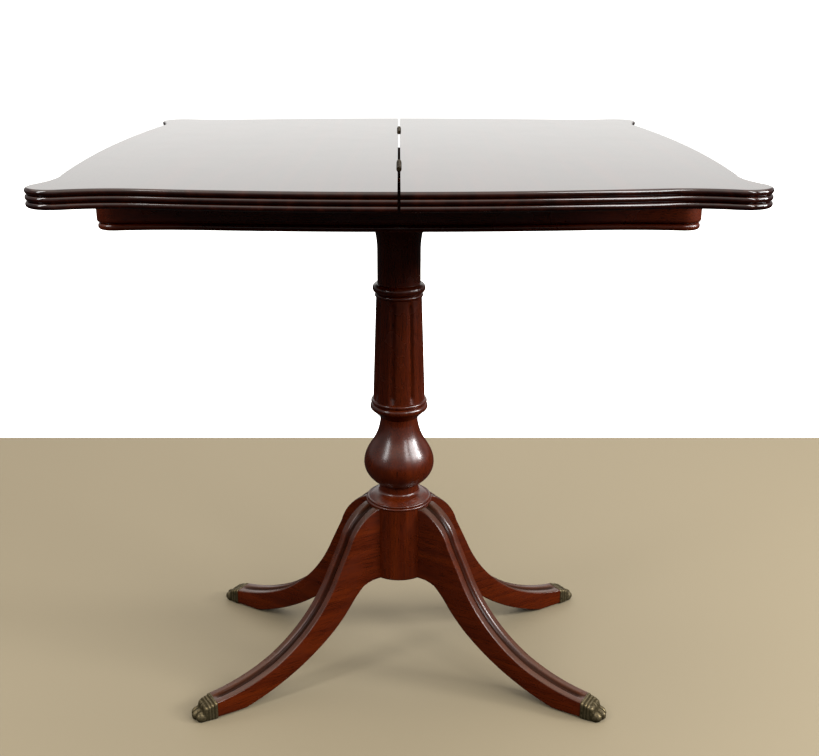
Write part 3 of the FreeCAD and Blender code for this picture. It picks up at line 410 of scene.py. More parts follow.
# %% Side view of a leg
LEG_ROOT = (36, 249.5)
KNEE_START = (46, 249.5)
KNEE_END = (88, 201)
SHIN_END = (107, 161.5)
ARCH = (204, 52)
ANKLE = (292, 25)
HEEL = (292, 2.5)
SOLE_START = (252, 2.5)
CALF = (89, 107)
CALF_TOP = (45, 142.5)
LEG_FOOT = (36, 142.5)
# where the outline goes, how far it bows to the left on the way there in mm, and the steps of that bow
LEG_VIEW = (
    (KNEE_START, 0, 0), (KNEE_END, 7, 9), (SHIN_END, 0, 0), (ARCH, -12, 18), (ANKLE, -4.3, 10), (HEEL, 0, 0),
    (SOLE_START, 0, 0), (CALF, 14.3, 22), (CALF_TOP, -10, 8), (LEG_FOOT, 0, 0),
)
CALF_SOFT = 34
CALF_STROKES = 8


def run_to(drawn, start, end):
    """Draw a straight edge from a vertex to a point of the side view."""
    last = bmesh.ops.extrude_vert_indiv(drawn, verts=[start])["verts"][0]
    last.co = Vector((end[0], 0, end[1])) * MM
    return last


def bow_to(drawn, start, end, depth, steps):
    """Draw an arc to a point; depth in mm is its bow to the left of the way there, or right if negative."""
    goal = Vector((end[0], 0, end[1])) * MM
    chord = goal - start.co
    half = chord.length / 2
    bow = abs(depth) * MM
    radius = (half ** 2 + bow ** 2) / (2 * bow)
    left = Vector((-chord.z, 0, chord.x)).normalized()
    centre = (start.co + goal) / 2 - left * math.copysign(radius - bow, depth)
    turn = math.copysign(2 * math.asin(half / radius), depth)
    arc = bmesh.ops.spin(drawn, geom=[start], cent=centre, axis=(0, 1, 0), angle=turn, steps=steps)
    return next(part for part in arc["geom_last"] if isinstance(part, bmesh.types.BMVert))


def draw_route(drawn, tip, route, side=1):
    """Draw the runs and arcs of a route from a vertex; a side of -1 bows them the other way."""
    for goal, bow, steps in route:
        tip = bow_to(drawn, tip, goal, side * bow, steps) if bow else run_to(drawn, tip, goal)
    return tip


def draw_side_view():
    """The closed outline of a leg in its own plane, filled with one face."""
    drawn = bmesh.new()
    first = bmesh.ops.create_vert(drawn, co=(LEG_ROOT[0] * MM, 0, LEG_ROOT[1] * MM))["vert"][0]
    last = draw_route(drawn, first, LEG_VIEW)
    bmesh.ops.contextual_create(drawn, geom=[last, first])
    bmesh.ops.edgeloop_fill(drawn, edges=drawn.edges)
    # the spokeshave leaves no corner between the calf and the arch above it
    hollow = Vector((CALF[0], 0, CALF[1])) * MM
    near_calf = [corner for corner in drawn.verts if (corner.co - hollow).length < CALF_SOFT * MM]
    for _ in range(CALF_STROKES):
        bmesh.ops.smooth_vert(drawn, verts=near_calf, factor=0.5, use_axis_x=True, use_axis_z=True)
    return drawn


leg_blank = draw_side_view()
print("points round the leg's side view:", len(leg_blank.verts))

# %% Thickness of the plank
ROOT_WIDTH = 35
grown = bmesh.ops.extrude_face_region(leg_blank, geom=leg_blank.faces[:])["geom"]
moved = [part for part in grown if isinstance(part, bmesh.types.BMVert)]
bmesh.ops.translate(leg_blank, vec=(0, ROOT_WIDTH * MM, 0), verts=moved)
bmesh.ops.translate(leg_blank, vec=(0, -ROOT_WIDTH / 2 * MM, 0), verts=leg_blank.verts)
bmesh.ops.recalc_face_normals(leg_blank, faces=leg_blank.faces)
print("faces on a sawn leg:", len(leg_blank.faces))

# %% [markdown]
# ## Hollow channel
# A scratch tool drawn along the leg's upper face leaves a hollow in the middle and a broad round bead on
# either side. The face is cut into narrow strips, and their edges are sunk along the face's own normals to a
# shallow curve that runs out at the toe. How deep each point lies is kept as an attribute, because the finish
# follows it: the hollow is painted darker and duller, as painted shade.

# %% Hollow channel
CHANNEL_HALF = 6.5
CHANNEL_DEPTH = 3.0
CHANNEL_CUTS = 8
CHANNEL_RUN_OUT = 12
LOOKS_UP = 0.2
SAME_PLACE = 0.001
for cut in range(CHANNEL_CUTS + 1):
    line = CHANNEL_HALF * (2 * cut / CHANNEL_CUTS - 1) * MM
    strip = []
    for face in [face for face in leg_blank.faces if face.normal.z > LOOKS_UP]:
        strip += [face, *face.edges, *face.verts]
    bmesh.ops.bisect_plane(
        leg_blank, geom=list(dict.fromkeys(strip)), plane_co=(0, line, 0), plane_no=(0, 1, 0),
        dist=SAME_PLACE * MM)
leg_blank.normal_update()
sunk = leg_blank.verts.layers.float.new("sunk")
inner = {
    corner for face in leg_blank.faces if face.normal.z > LOOKS_UP for corner in face.verts
    if abs(corner.co.y / MM) < CHANNEL_HALF}
ways_down = {corner: corner.normal.copy() for corner in inner}
for corner in inner:
    across = corner.co.y / MM / CHANNEL_HALF
    run_out = min(1, (ANKLE[0] - corner.co.x / MM) / CHANNEL_RUN_OUT)
    corner[sunk] = (1 - across ** 2) * run_out
    corner.co -= ways_down[corner] * corner[sunk] * CHANNEL_DEPTH * MM
print("points sunk in a leg's channel:", len(inner))

# %% [markdown]
# ## Taper and soft edges
# A leg gets thinner towards the toe, which a plane does on the real one and a scale along its length does
# here. Every arris is then rounded with a bevel, because hand-finished edges are soft and catch the light.
# Only the two ends stay square, where wood meets wood or brass.

# %% Taper and soft edges
TOE_WIDTH = 29
TAPER_FROM = 22.5
EDGE_ROUND = 1.6
SHARP_TURN = math.radians(35)
SLACK = 0.1
for corner in leg_blank.verts:
    share = (corner.co.x / MM - TAPER_FROM) / (ANKLE[0] - TAPER_FROM)
    corner.co.y *= 1 + (TOE_WIDTH / ROOT_WIDTH - 1) * share
bmesh.ops.recalc_face_normals(leg_blank, faces=leg_blank.faces)


def at_an_end(edge):
    """True for an edge of the leg's root or of its end against the cap, which stay square."""
    places = [corner.co.x / MM for corner in edge.verts]
    return min(places) > ANKLE[0] - SLACK or max(places) < LEG_ROOT[0] + SLACK


arrises = [
    e for e in leg_blank.edges if e.is_convex and e.calc_face_angle(0) > SHARP_TURN and not at_an_end(e)]
bmesh.ops.bevel(
    leg_blank, geom=arrises, offset=EDGE_ROUND * MM, segments=4, profile=0.5, affect="EDGES",
    clamp_overlap=True, material=-1)
print("edges rounded on a leg:", len(arrises))

# %% [markdown]
# ## Four legs round the hub
# All the legs come from one pattern, so one mesh is copied and turned to its place about the column's axis.
# Each gets its own mahogany, turned by the same angle, because its grain runs along its own plank.

# %% Stand the legs round the hub
LEG_ANGLES = {"front_right": -31.1, "rear_right": 31.1, "rear_left": 148.9, "front_left": 211.1}
MERGE_WITHIN = 0.01


def keep_piece(drawn, name, material, body, slot, *replaced, sharp=SHARP_TURN):
    """Turn a drawn mesh into a piece of the table that rides on a body and stands for some joinery."""
    bmesh.ops.remove_doubles(drawn, verts=drawn.verts, dist=MERGE_WITHIN * MM)
    bmesh.ops.recalc_face_normals(drawn, faces=drawn.faces)
    data = bpy.data.meshes.new(name)
    drawn.to_mesh(data)
    drawn.free()
    data.shade_smooth()
    data.set_sharp_from_angle(angle=sharp)
    data.materials.append(material)
    piece = bpy.data.objects.new(name, data)
    bpy.context.scene.collection.objects.link(piece)
    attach(piece, body)
    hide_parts(*replaced)


def turned_copy(drawn, angle):
    """A copy of a mesh, turned about the column's axis."""
    copy = drawn.copy()
    bmesh.ops.rotate(copy, matrix=Matrix.Rotation(math.radians(angle), 3, "Z"), verts=copy.verts)
    return copy


for leg, angle in LEG_ANGLES.items():
    leg_wood = polished_mahogany(
        f"french_polished_mahogany_{leg}", "X", BASE_TONES, BASE_GLOSS, angle, dust_and_painted_shade=True)
    keep_piece(
        turned_copy(leg_blank, angle), f"sabre_leg_{leg}", leg_wood, "pedestal", "mahogany_base",
        f"leg_{leg}")
leg_blank.free()
print("legs:", list(LEG_ANGLES))

# %% [markdown]
# ## Turned column
# The column is one length of mahogany from the lathe: a disc on the hub, a vase, a collar, a tapered shaft, a
# ring and a plain drum that flares out under the top. A spin is the lathe here, so only its side view is
# drawn. The vase's arcs are smoothed before the spin, because a turner's gouge leaves no line where one curve
# runs into the next.

# %% Side view of the column
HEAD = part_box("pedestal_block")[0].z / MM
SHAFT_FOOT = (35.4, 400.8)
SHAFT_HEAD = (30.7, HEAD - 121)
# radius and height in mm, how far the wood bows outwards on the way there, and the steps of that bow
TURNING = (
    ((18, 169.5), 0, 0), ((18, 249.5), 0, 0), ((44.8, 249.5), 0, 0), ((44.8, 253.3), 1.3, 8),
    ((43.6, 253.3), 0, 0), ((43.6, 256.6), 1.1, 8), ((42.2, 256.6), 0, 0), ((31.0, 263.4), 0.9, 8),
    ((27.2, 268.0), -1.2, 8), ((27.2, 276.5), 0, 0), ((50, 307.5), 5.8, 14), ((41.4, 331.7), 1.3, 9),
    ((25.9, 368), -3.4, 14), ((25.9, 374.4), 0, 0), ((35.6, 384.6), 0, 0), ((35.6, 394.8), 3.9, 12),
    ((35.6, 400.8), 2.8, 12), (SHAFT_FOOT, 0, 0), (SHAFT_HEAD, 0, 0), ((30.4, HEAD - 121), 0, 0),
    ((30.4, HEAD - 115), 2, 10), ((30.4, HEAD - 102), 5, 14), ((28.9, HEAD - 102), 0, 0),
    ((28.9, HEAD - 61), 0, 0), ((43, HEAD), -3.8, 16), ((22, HEAD), 0, 0), ((22, HEAD + 24), 0, 0),
    ((0, HEAD + 24), 0, 0),
)
VASE_ZONE = (280, 366)
VASE_STROKES = 18
column = bmesh.new()
foot = bmesh.ops.create_vert(column, co=(0, 0, TURNING[0][0][1] * MM))["vert"][0]
draw_route(column, foot, TURNING, side=-1)
vase = [point for point in column.verts if VASE_ZONE[0] < point.co.z / MM < VASE_ZONE[1]]
for _ in range(VASE_STROKES):
    bmesh.ops.smooth_vert(column, verts=vase, factor=0.5, use_axis_x=True, use_axis_z=True)
print("points along the column's side view:", len(column.verts))

# %% [markdown]
# ## Reeds on the shaft
# Eight broad reeds were worked on the shaft by hand after the turning, so they come after the spin here too.
# They stay as round as the lathe left them, and a narrow rounded crease is pressed in between each two, which
# runs out just short of the collar and the ring. The shaft is cut into many short lengths first, or there
# would be no points to press in.

# %% Cut and spin the shaft
REEDS = 8
REED_TURN = 7
REED_STEPS = 24
SHAFT_CUTS = 60
SHAFT_LEAST = 50


def on_shaft(point):
    """True for a point between the collar and the ring."""
    level = point.co.z / MM
    outside = point.co.x / MM > SHAFT_HEAD[0] - SLACK
    return SHAFT_FOOT[1] - SLACK < level < SHAFT_HEAD[1] + SLACK and outside


shaft = [
    edge for edge in column.edges
    if all(on_shaft(end) for end in edge.verts) and edge.calc_length() > SHAFT_LEAST * MM]
bmesh.ops.subdivide_edges(column, edges=shaft, cuts=SHAFT_CUTS)
first_crease = math.radians(REED_TURN + 180 / REEDS)
bmesh.ops.rotate(column, matrix=Matrix.Rotation(first_crease, 3, "Z"), verts=column.verts)
bmesh.ops.spin(
    column, geom=column.verts[:] + column.edges[:], cent=(0, 0, 0), axis=(0, 0, 1), angle=2 * math.pi,
    steps=REEDS * REED_STEPS, use_merge=True)
print("points on the spun column:", len(column.verts))

# %% Press in the creases
CREASE_HALF = 5.5
CREASE_DEPTH = 3.0
RUN_OUT = 9
COLUMN_SHARP = math.radians(22)
reed_angle = math.radians(360 / REEDS)
pressed = 0
for point in column.verts:
    from_end = min(point.co.z / MM - SHAFT_FOOT[1], SHAFT_HEAD[1] - point.co.z / MM)
    if from_end <= 0:
        continue
    across = Vector((point.co.x, point.co.y))
    reach = across.length / MM
    bearing_here = math.atan2(point.co.y, point.co.x) - first_crease
    off_middle = bearing_here % reed_angle - reed_angle / 2
    from_crease = (reed_angle / 2 - abs(off_middle)) * reach
    if from_crease < CREASE_HALF:
        hollow = CREASE_DEPTH * (0.5 + 0.5 * math.cos(math.pi * from_crease / CREASE_HALF))
        across *= 1 - hollow / reach * min(1, from_end / RUN_OUT)
        point.co.x, point.co.y = across
        pressed += 1
column_wood = polished_mahogany("french_polished_mahogany_column", "Z", BASE_TONES, BASE_GLOSS)
keep_piece(
    column, "turned_column", column_wood, "pedestal", "mahogany_base", "column", sharp=COLUMN_SHARP)
print("points pressed in between the reeds:", pressed)

# %% [markdown]
# ## Brass toes
# Each leg ends in a brass casting: a collar against the wood, thin ridges, a brow of three lobes, and under
# it three toes on the floor. It was poured in sand, so its forms run into each other. They are drawn roughly
# here, a run of extruded sections with balls pushed into it, and a remesh melts them into one skin.

# %% Draw a toe cap
# distance from the column's axis, half width and height of each section, in mm
CAP_SECTIONS = (
    (292, 14.7, 25.3), (292.6, 15.4, 26.1), (295.4, 15.4, 25.5), (296.4, 14.5, 24.0), (297.8, 14.4, 23.6),
    (298.4, 14.9, 24.2), (299.8, 14.9, 23.8), (300.4, 14.3, 22.9), (301.8, 14.2, 22.5), (302.4, 14.7, 23.1),
    (303.8, 14.7, 22.7), (304.4, 14.1, 21.7), (308, 13.5, 20.8), (309.6, 12.6, 19.0), (310.6, 12.2, 14.0),
    (316, 11.0, 11.0),
)
# middle, and half length, half width and half height, of the three toes and of the brow's three lobes
TOES = (
    ((313.0, 0.0, 6.6), (11.0, 5.8, 8.0)),
    ((311.2, -8.0, 6.4), (10.0, 6.0, 7.6)),
    ((311.2, 8.0, 6.4), (10.0, 6.0, 7.6)),
    ((304.5, 0.0, 16.0), (6.6, 5.6, 5.9)),
    ((303.0, -8.6, 15.2), (6.6, 5.6, 5.9)),
    ((303.0, 8.6, 15.2), (6.6, 5.6, 5.9)),
)
CORNER_SHARE = 0.14


def draw_cap():
    """The cap's rough forms: a run of rounded sections, with toes and lobes set into its front."""
    drawn = bmesh.new()
    bmesh.ops.create_grid(drawn, x_segments=1, y_segments=1, size=0.5)
    bmesh.ops.bevel(
        drawn, geom=drawn.verts[:], offset=CORNER_SHARE, segments=4, profile=0.5, affect="VERTICES",
        material=-1)
    bmesh.ops.rotate(drawn, matrix=Matrix.Rotation(math.radians(90), 3, "Y"), verts=drawn.verts)
    bmesh.ops.translate(drawn, vec=(0, 0, 0.5), verts=drawn.verts)
    place, half, tall = CAP_SECTIONS[0]
    bmesh.ops.scale(drawn, vec=(1, 2 * half * MM, tall * MM), verts=drawn.verts)
    bmesh.ops.translate(drawn, vec=(place * MM, 0, 0), verts=drawn.verts)
    front = drawn.faces[:]
    for section in CAP_SECTIONS[1:]:
        grown = bmesh.ops.extrude_face_region(drawn, geom=front)["geom"]
        front = [part for part in grown if isinstance(part, bmesh.types.BMFace)]
        ring = [part for part in grown if isinstance(part, bmesh.types.BMVert)]
        bmesh.ops.scale(drawn, vec=(1, section[1] / half, section[2] / tall), verts=ring)
        bmesh.ops.translate(drawn, vec=((section[0] - place) * MM, 0, 0), verts=ring)
        place, half, tall = section
    bmesh.ops.recalc_face_normals(drawn, faces=drawn.faces)
    for middle, reach in TOES:
        lump = Matrix.Translation(Vector(middle) * MM) @ Matrix.Diagonal([*(Vector(reach) * MM), 1])
        bmesh.ops.create_uvsphere(drawn, u_segments=24, v_segments=14, radius=1, matrix=lump)
    return drawn


rough_cap = draw_cap()
print("faces on a rough toe:", len(rough_cap.faces))

# %% Melt the forms into one casting
CAST_GRAIN = 0.7
rough_data = bpy.data.meshes.new("rough_cap")
rough_cap.to_mesh(rough_data)
rough_cap.free()
rough = bpy.data.objects.new("rough_cap", rough_data)
bpy.context.scene.collection.objects.link(rough)
melt = rough.modifiers.new("one_skin", "REMESH")
melt.mode = "VOXEL"
melt.voxel_size = CAST_GRAIN * MM
melted = bpy.data.meshes.new_from_object(rough.evaluated_get(bpy.context.evaluated_depsgraph_get()))
bpy.data.objects.remove(rough)
cast = bmesh.new()
cast.from_mesh(melted)
print("faces on a cast toe:", len(cast.faces))

# %% [markdown]
# ## Wear on the toes
# A century of brooms and shoes has rubbed the casting, so nothing on it is sharp. A few rounds of smoothing
# wear it down, and a cut gives it the flat sole that it stands on. How far each point stands out from those
# round it is kept as an attribute, because the finish is rubbed bright there.

# %% Wear the casting and find its high places
BROOM_STROKES = 4
SOLE_CUT = 0.15
STANDS_OUT_UNIT = 0.1
for _ in range(BROOM_STROKES):
    bmesh.ops.smooth_vert(
        cast, verts=cast.verts, factor=0.5, use_axis_x=True, use_axis_y=True, use_axis_z=True)
everything = cast.verts[:] + cast.edges[:] + cast.faces[:]
bmesh.ops.bisect_plane(
    cast, geom=everything, plane_co=(0, 0, SOLE_CUT * MM), plane_no=(0, 0, 1), clear_inner=True)
bmesh.ops.holes_fill(cast, edges=[e for e in cast.edges if e.is_boundary])
bmesh.ops.translate(cast, vec=(0, 0, -SOLE_CUT * MM), verts=cast.verts)
bmesh.ops.recalc_face_normals(cast, faces=cast.faces)
cast.normal_update()
stands_out = cast.verts.layers.float.new("stands_out")
for point in cast.verts:
    round_about = [edge.other_vert(point).co for edge in point.link_edges]
    middle = sum(round_about, Vector()) / len(round_about)
    point[stands_out] = (point.co - middle).dot(point.normal) / (STANDS_OUT_UNIT * MM)
print("points on a worn toe:", len(cast.verts))

# %% [markdown]
# ## Dull cast brass
# Old brass that is not polished goes olive brown in the hollows, where wax and dirt stay as a dull crust, and
# keeps a pale worn metal on whatever stands out. The attribute from the casting picks the two apart and a
# noise breaks up the border between them. The crust is no metal, so the metallic value, the shine and the
# roughness follow the same mask as the colour.

# %% Cast brass
# sizes in mm: patches of tarnish, and the sandy grain over them, about 0.3 mm on the real casting and drawn
# coarser so that it shows
TARNISH_PATCH = 4
SAND_GRAIN = 0.6
# where the mask starts and where the metal is bare
WORN_CASTING = {1: 0.36, 2: 0.72}
WORN_FITTING = {1: 0.46, 2: 0.80}


def aged_brass(name, tones, worn_by_shape):
    """Old brass: worn where the casting stands out, or in soft patches on a plain fitting."""
    material, tree, shader = new_material(name)
    where = add(tree, "ShaderNodeTexCoord")
    patches = add(
        tree, "ShaderNodeTexNoise", {"Scale": 1 / (TARNISH_PATCH * MM), "Detail": 4.0, "Roughness": 0.6},
        {"Vector": where.outputs["Object"]})
    sand = add(
        tree, "ShaderNodeTexNoise", {"Scale": 1 / (SAND_GRAIN * MM), "Detail": 2.0},
        {"Vector": where.outputs["Object"]})
    if worn_by_shape:
        wear = WORN_CASTING
        shape = add(tree, "ShaderNodeAttribute", attribute_name="stands_out")
        high = add(
            tree, "ShaderNodeMapRange", {1: -0.2, 2: 0.6, 3: -0.25, 4: 0.35}, {0: shape.outputs["Fac"]})
        worn = add(
            tree, "ShaderNodeMath", links={0: patches.outputs["Fac"], 1: high.outputs[0]}, operation="ADD")
        source = worn.outputs[0]
    else:
        wear = WORN_FITTING
        source = patches.outputs["Fac"]
    mask = add(tree, "ShaderNodeMapRange", wear, {0: source}, interpolation_type="SMOOTHSTEP")
    colour = add(
        tree, "ShaderNodeMix", {6: linear(tones[0]), 7: linear(tones[1])}, {0: mask.outputs[0]},
        data_type="RGBA")
    tree.links.new(colour.outputs[2], shader.inputs["Base Color"])
    bare = add(tree, "ShaderNodeMapRange", {3: 0.0, 4: 0.85}, {0: mask.outputs[0]})
    tree.links.new(bare.outputs[0], shader.inputs["Metallic"])
    shine = add(tree, "ShaderNodeMapRange", {3: 0.05, 4: 0.5}, {0: mask.outputs[0]})
    tree.links.new(shine.outputs[0], shader.inputs["Specular IOR Level"])
    smooth = add(tree, "ShaderNodeMapRange", {3: 0.75, 4: 0.42}, {0: mask.outputs[0]})
    tree.links.new(smooth.outputs[0], shader.inputs["Roughness"])
    pits = add(
        tree, "ShaderNodeBump", {"Strength": 0.25, "Distance": 0.15 * MM}, {"Height": sand.outputs["Fac"]})
    tree.links.new(pits.outputs["Normal"], shader.inputs["Normal"])
    return material


# %% Brass on the toes and on the fittings
CAST_TONES = ("#2a2416", "#5c5139")
# painted shade: the fittings are coloured near black, as dark as the shaded seam in which the hinges sit
FITTING_TONES = ("#181207", "#45361b")
cast_brass = aged_brass("cast_brass_dull_with_age", CAST_TONES, True)
for leg, angle in LEG_ANGLES.items():
    keep_piece(
        turned_copy(cast, angle), f"brass_toe_{leg}", cast_brass, "pedestal", "antique_brass",
        f"toe_cap_{leg}")
cast.free()
fitting_brass = aged_brass("rolled_brass_near_black", FITTING_TONES, False)
dress(fitting_brass, "toe_cap_pins", "pivot_bush", "hinge_front_pin", "hinge_rear_pin")
dress(fitting_brass, "hinge_front_fixed_plate", "hinge_front_flip_plate")
dress(fitting_brass, "hinge_rear_fixed_plate", "hinge_rear_flip_plate")
print("brass toes:", len(LEG_ANGLES))

# %% [markdown]
# ## Planed beech
# What the polish does not reach is plainer. The bearers, blocks and dowels are beech, a pale wood with short
# dark flecks, left dry from the plane. Its rings are a noise stretched along the grain, as the mahogany's
# stripe is, and a short fine one makes the flecks.

# %% Planed beech
# lengths and widths in mm
RING_LENGTH = 300
RING_WIDTH = 9
FLECK_LENGTH = 4
FLECK_WIDTH = 0.8
BEECH_TONES = ("#9a7148", "#c49a68")


def planed_beech(name, grain):
    """Beech from the plane: pale and dry, with darker flecks along an axis."""
    material, tree, shader = new_material(name)
    where = add(tree, "ShaderNodeTexCoord")
    along = add(
        tree, "ShaderNodeMapping", {"Rotation": [math.radians(a) for a in GRAIN_TURN[grain]]},
        {"Vector": where.outputs["Object"]})
    across_rings = 1 / (RING_WIDTH * MM)
    ring_space = add(
        tree, "ShaderNodeMapping", {"Scale": (1 / (RING_LENGTH * MM), across_rings, across_rings)},
        {"Vector": along.outputs["Vector"]})
    rings = add(
        tree, "ShaderNodeTexNoise", {"Scale": 1.0, "Detail": 4.0, "Distortion": 0.3},
        {"Vector": ring_space.outputs["Vector"]})
    across_flecks = 1 / (FLECK_WIDTH * MM)
    fleck_space = add(
        tree, "ShaderNodeMapping", {"Scale": (1 / (FLECK_LENGTH * MM), across_flecks, across_flecks)},
        {"Vector": along.outputs["Vector"]})
    flecks = add(
        tree, "ShaderNodeTexNoise", {"Scale": 1.0, "Detail": 1.0}, {"Vector": fleck_space.outputs["Vector"]})
    tone = add(tree, "ShaderNodeValToRGB", links={"Fac": rings.outputs["Fac"]})
    tone.color_ramp.elements[0].position = 0.3
    tone.color_ramp.elements[0].color = linear(BEECH_TONES[0])
    tone.color_ramp.elements[1].position = 0.7
    tone.color_ramp.elements[1].color = linear(BEECH_TONES[1])
    fleck_mask = add(
        tree, "ShaderNodeMapRange", {1: 0.56, 2: 0.68, 3: 1.0, 4: 0.62}, {0: flecks.outputs["Fac"]})
    wood = add(
        tree, "ShaderNodeMix", {0: 1.0}, {6: tone.outputs["Color"], 7: fleck_mask.outputs[0]},
        data_type="RGBA", blend_type="MULTIPLY")
    tree.links.new(wood.outputs[2], shader.inputs["Base Color"])
    dry = add(tree, "ShaderNodeMapRange", {3: 0.5, 4: 0.72}, {0: rings.outputs["Fac"]})
    tree.links.new(dry.outputs[0], shader.inputs["Roughness"])
    fibre = add(
        tree, "ShaderNodeBump", {"Strength": 0.15, "Distance": 0.2 * MM}, {"Height": flecks.outputs["Fac"]})
    tree.links.new(fibre.outputs["Normal"], shader.inputs["Normal"])
    return material


dress(planed_beech("planed_beech_lengthwise", "X"), "pedestal_block", "swivel_stop_block")
dress(planed_beech("planed_beech_crosswise", "Y"), "pivot_bearer", "plain_bearer", "leg_dowels")
dress(planed_beech("planed_beech_upright", "Z"), "corner_blocks", "swivel_stop_peg")
print("beech finishes:", [m.name for m in bpy.data.materials if m.name.startswith("planed_beech")])

# %% [markdown]
# ## Zinc plate, black lacquer and baize
# Nuts, washers and screws are zinc plated, so they are cool grey metal with cloudy patches. Plates are
# lacquered black, which is smooth, dark and no metal. Green baize is wool, all nap and no gloss, and lets the
# leaves slide. All three are two near tones in patches of their own size, so one function makes them.

# %% Zinc plate, black lacquer and baize
ZINC_TONES = ("#8d8f92", "#b4b3ad")
LACQUER_TONES = ("#0c0c0d", "#191919")
BAIZE_TONES = ("#16301f", "#2c5237")
BAIZE_NAP = 0.4


def patched(name, tones, patch, rough, metallic, dent):
    """Two near tones in patches of a size in mm; the roughness and the dents follow the patches."""
    material, tree, shader = new_material(name)
    where = add(tree, "ShaderNodeTexCoord")
    cloud = add(
        tree, "ShaderNodeTexNoise", {"Scale": 1 / (patch * MM), "Detail": 5.0, "Roughness": 0.65},
        {"Vector": where.outputs["Object"]})
    mask = add(tree, "ShaderNodeMapRange", {1: 0.35, 2: 0.65}, {0: cloud.outputs["Fac"]})
    colour = add(
        tree, "ShaderNodeMix", {6: linear(tones[0]), 7: linear(tones[1])}, {0: mask.outputs[0]},
        data_type="RGBA")
    tree.links.new(colour.outputs[2], shader.inputs["Base Color"])
    gloss = add(tree, "ShaderNodeMapRange", {3: rough[0], 4: rough[1]}, {0: mask.outputs[0]})
    tree.links.new(gloss.outputs[0], shader.inputs["Roughness"])
    bump = add(
        tree, "ShaderNodeBump", {"Strength": dent, "Distance": 0.2 * MM}, {"Height": cloud.outputs["Fac"]})
    tree.links.new(bump.outputs["Normal"], shader.inputs["Normal"])
    shader.inputs["Metallic"].default_value = metallic
    return material


zinc = patched("zinc_plated_steel", ZINC_TONES, 2.5, (0.42, 0.30), 1.0, 0.1)
lacquer = patched("black_lacquered_steel", LACQUER_TONES, 6.0, (0.28, 0.42), 0.0, 0.15)
baize = patched("green_baize", BAIZE_TONES, 0.7, (0.95, 1.0), 0.0, 0.9)
# the nap catches light from the side
baize.node_tree.nodes["Principled BSDF"].inputs["Sheen Weight"].default_value = BAIZE_NAP
dress(zinc, "thrust_washer", "lower_washer", "spring_washer", "lock_nut", "pivot_bolt")
dress(lacquer, "hub_plate", "pivot_plate")
dress(baize, "swivel_glides")
print("finishes so far:", len(bpy.data.materials))

# %% [markdown]
# ## Slotted screws
# Countersunk wood screws hold the plates, the block and the hinges. Each head is a disc that narrows to the
# shank, with a slot sawn across it. The disc is extruded to the point, two cuts mark the slot, and the strip
# between them is pushed in. No two slots stop at the same angle when screws are driven by hand, so each screw
# is turned by one step more, in degrees.

# %% A slotted screw
SLOT_STEP = 67
HEAD_SIDES = 28
# half width and depth of the slot as shares of the head's radius, and how much shorter its floor is
SLOT_HALF = 0.14
SLOT_DEPTH = 0.3
SLOT_TAPER = 0.7
# the share of the length where the point starts
POINT_FROM = 0.8


def add_screw(group, head, shank, length, place, count):
    """Add a slotted screw to a group: sizes in mm, its face in the place's XY plane, driven along its +Z."""
    drawn = bmesh.new()
    bmesh.ops.create_circle(drawn, cap_ends=True, segments=HEAD_SIDES, radius=head * MM)
    front = drawn.faces[:]
    for wide, deep in ((shank / head, head - shank), (0.98, length * POINT_FROM), (0.1, length)):
        grown = bmesh.ops.extrude_face_region(drawn, geom=front)["geom"]
        front = [part for part in grown if isinstance(part, bmesh.types.BMFace)]
        ring = [part for part in grown if isinstance(part, bmesh.types.BMVert)]
        bmesh.ops.scale(drawn, vec=(wide, wide, 1), verts=ring)
        bmesh.ops.translate(drawn, vec=(0, 0, deep * MM - ring[0].co.z), verts=ring)
    saw = head * SLOT_HALF * MM
    for side in (-saw, saw):
        face_parts = []
        for face in [f for f in drawn.faces if abs(f.calc_center_median().z) < SAME_PLACE * MM]:
            face_parts += [face, *face.edges, *face.verts]
        bmesh.ops.bisect_plane(
            drawn, geom=list(dict.fromkeys(face_parts)), plane_co=(side, 0, 0), plane_no=(1, 0, 0))
    slot = []
    for face in drawn.faces:
        middle = face.calc_center_median()
        if abs(middle.z) < SAME_PLACE * MM and abs(middle.x) < saw / 2:
            slot.append(face)
    grown = bmesh.ops.extrude_face_region(drawn, geom=slot)["geom"]
    slot_floor = [part for part in grown if isinstance(part, bmesh.types.BMVert)]
    bmesh.ops.translate(drawn, vec=(0, 0, head * SLOT_DEPTH * MM), verts=slot_floor)
    bmesh.ops.scale(drawn, vec=(1, SLOT_TAPER, 1), verts=slot_floor)
    bmesh.ops.delete(drawn, geom=[f for f in slot if f.is_valid], context="FACES_ONLY")
    turn = Matrix.Rotation(math.radians(SLOT_STEP * count), 4, "Z")
    bmesh.ops.transform(drawn, matrix=place @ turn, verts=drawn.verts)
    single = bpy.data.meshes.new("screw")
    drawn.to_mesh(single)
    drawn.free()
    group.from_mesh(single)
    bpy.data.meshes.remove(single)


def keep_screws(name, sizes, places, material, body, slot, node):
    """Make a group of like screws one piece; sizes are head radius, shank radius and length in mm."""
    group = bmesh.new()
    for count, place in enumerate(places):
        add_screw(group, *sizes, place, count)
    keep_piece(group, name, material, body, slot, node)
    print(name, len(places))


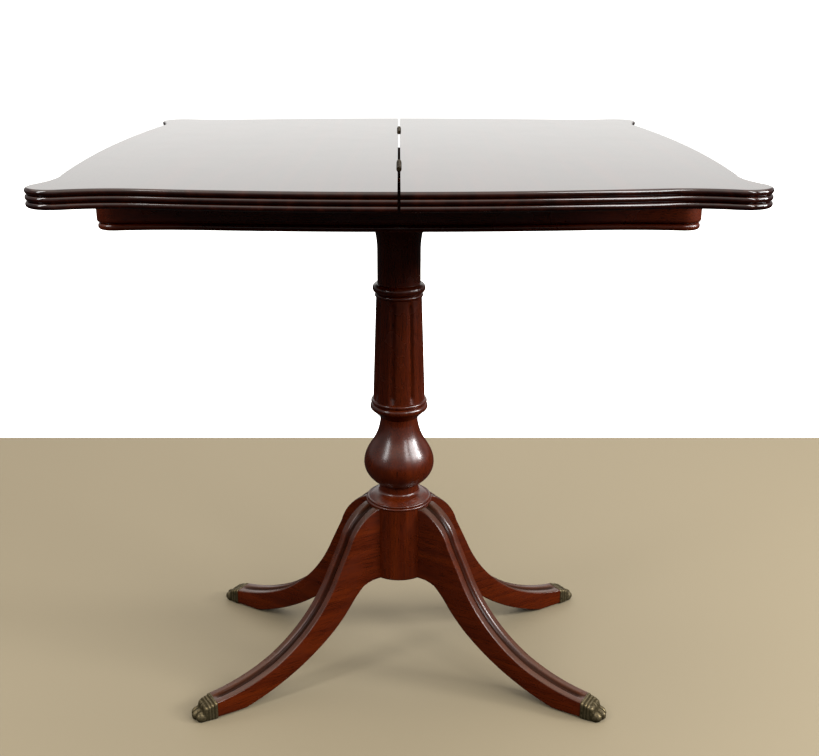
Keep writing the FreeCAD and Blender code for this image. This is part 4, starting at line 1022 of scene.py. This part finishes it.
# %% [markdown]
# ## Screws in their places
# The plates and the block are screwed on from below, so each of those heads lies in the underside of what it
# holds, at the height that is measured there. The hinges are screwed to the edges of the leaves, so those
# screws lie on their side, three to a plate.

# %% Screws that are driven upwards
PIVOT = 92.5
HUB_RING = 26
PLATE_RING = 33
BLOCK_STEP = 14
BLOCK_REACH = 45


def at_mm(x, y, z):
    """A place in mm."""
    return Matrix.Translation(Vector((x, y, z)) * MM)


def ring_of_four(centre, radius, start):
    """Four places round a centre on the diagonal, from a starting angle in degrees."""
    angles = [math.radians(start + 90 * k) for k in range(4)]
    return [at_mm(centre + radius * math.cos(a), centre + radius * math.sin(a), 0) for a in angles]


upwards = {
    "hub_plate": ring_of_four(0, HUB_RING, 0),
    "pivot_plate": ring_of_four(PIVOT, PLATE_RING, 45),
    "pedestal_block": [
        at_mm(side * PIVOT + step, across, 0)
        for side in (-1, 1) for step in (-BLOCK_STEP, BLOCK_STEP) for across in (-BLOCK_REACH, BLOCK_REACH)],
}
for under, places in upwards.items():
    level = at_mm(0, 0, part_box(under)[0].z / MM)
    upwards[under] = [level @ place for place in places]
keep_screws(
    "slotted_hub_screws", (4, 2, 20), upwards["hub_plate"], zinc, "pedestal", "steel", "hub_plate_screws")
keep_screws(
    "slotted_pivot_screws", (4, 2, 15), upwards["pivot_plate"], zinc, "swivel_top", "steel",
    "pivot_plate_screws")
keep_screws(
    "slotted_block_screws", (5, 2.5, 42), upwards["pedestal_block"], zinc, "pedestal", "steel",
    "block_screws")

# %% Screws that are driven into the edges of the leaves
HINGE_ROW = 190
HINGE_SCREW_PITCH = 21
HINGE_SCREW_LEVEL = 730.5
SEAM_HALF = 1.5
for leaf, body, way in (("fixed", "swivel_top", 1), ("flip", "folding_top", -1)):
    sideways = Matrix.Rotation(math.radians(90 * way), 4, "Y")
    places = [
        at_mm(SEAM_HALF * way, row + HINGE_SCREW_PITCH * step, HINGE_SCREW_LEVEL) @ sideways
        for row in (-HINGE_ROW, HINGE_ROW) for step in (-1, 0, 1)]
    keep_screws(
        f"slotted_hinge_screws_{leaf}", (2.3, 1.2, 14), places, fitting_brass, body, "brass",
        f"hinge_screws_{leaf}")
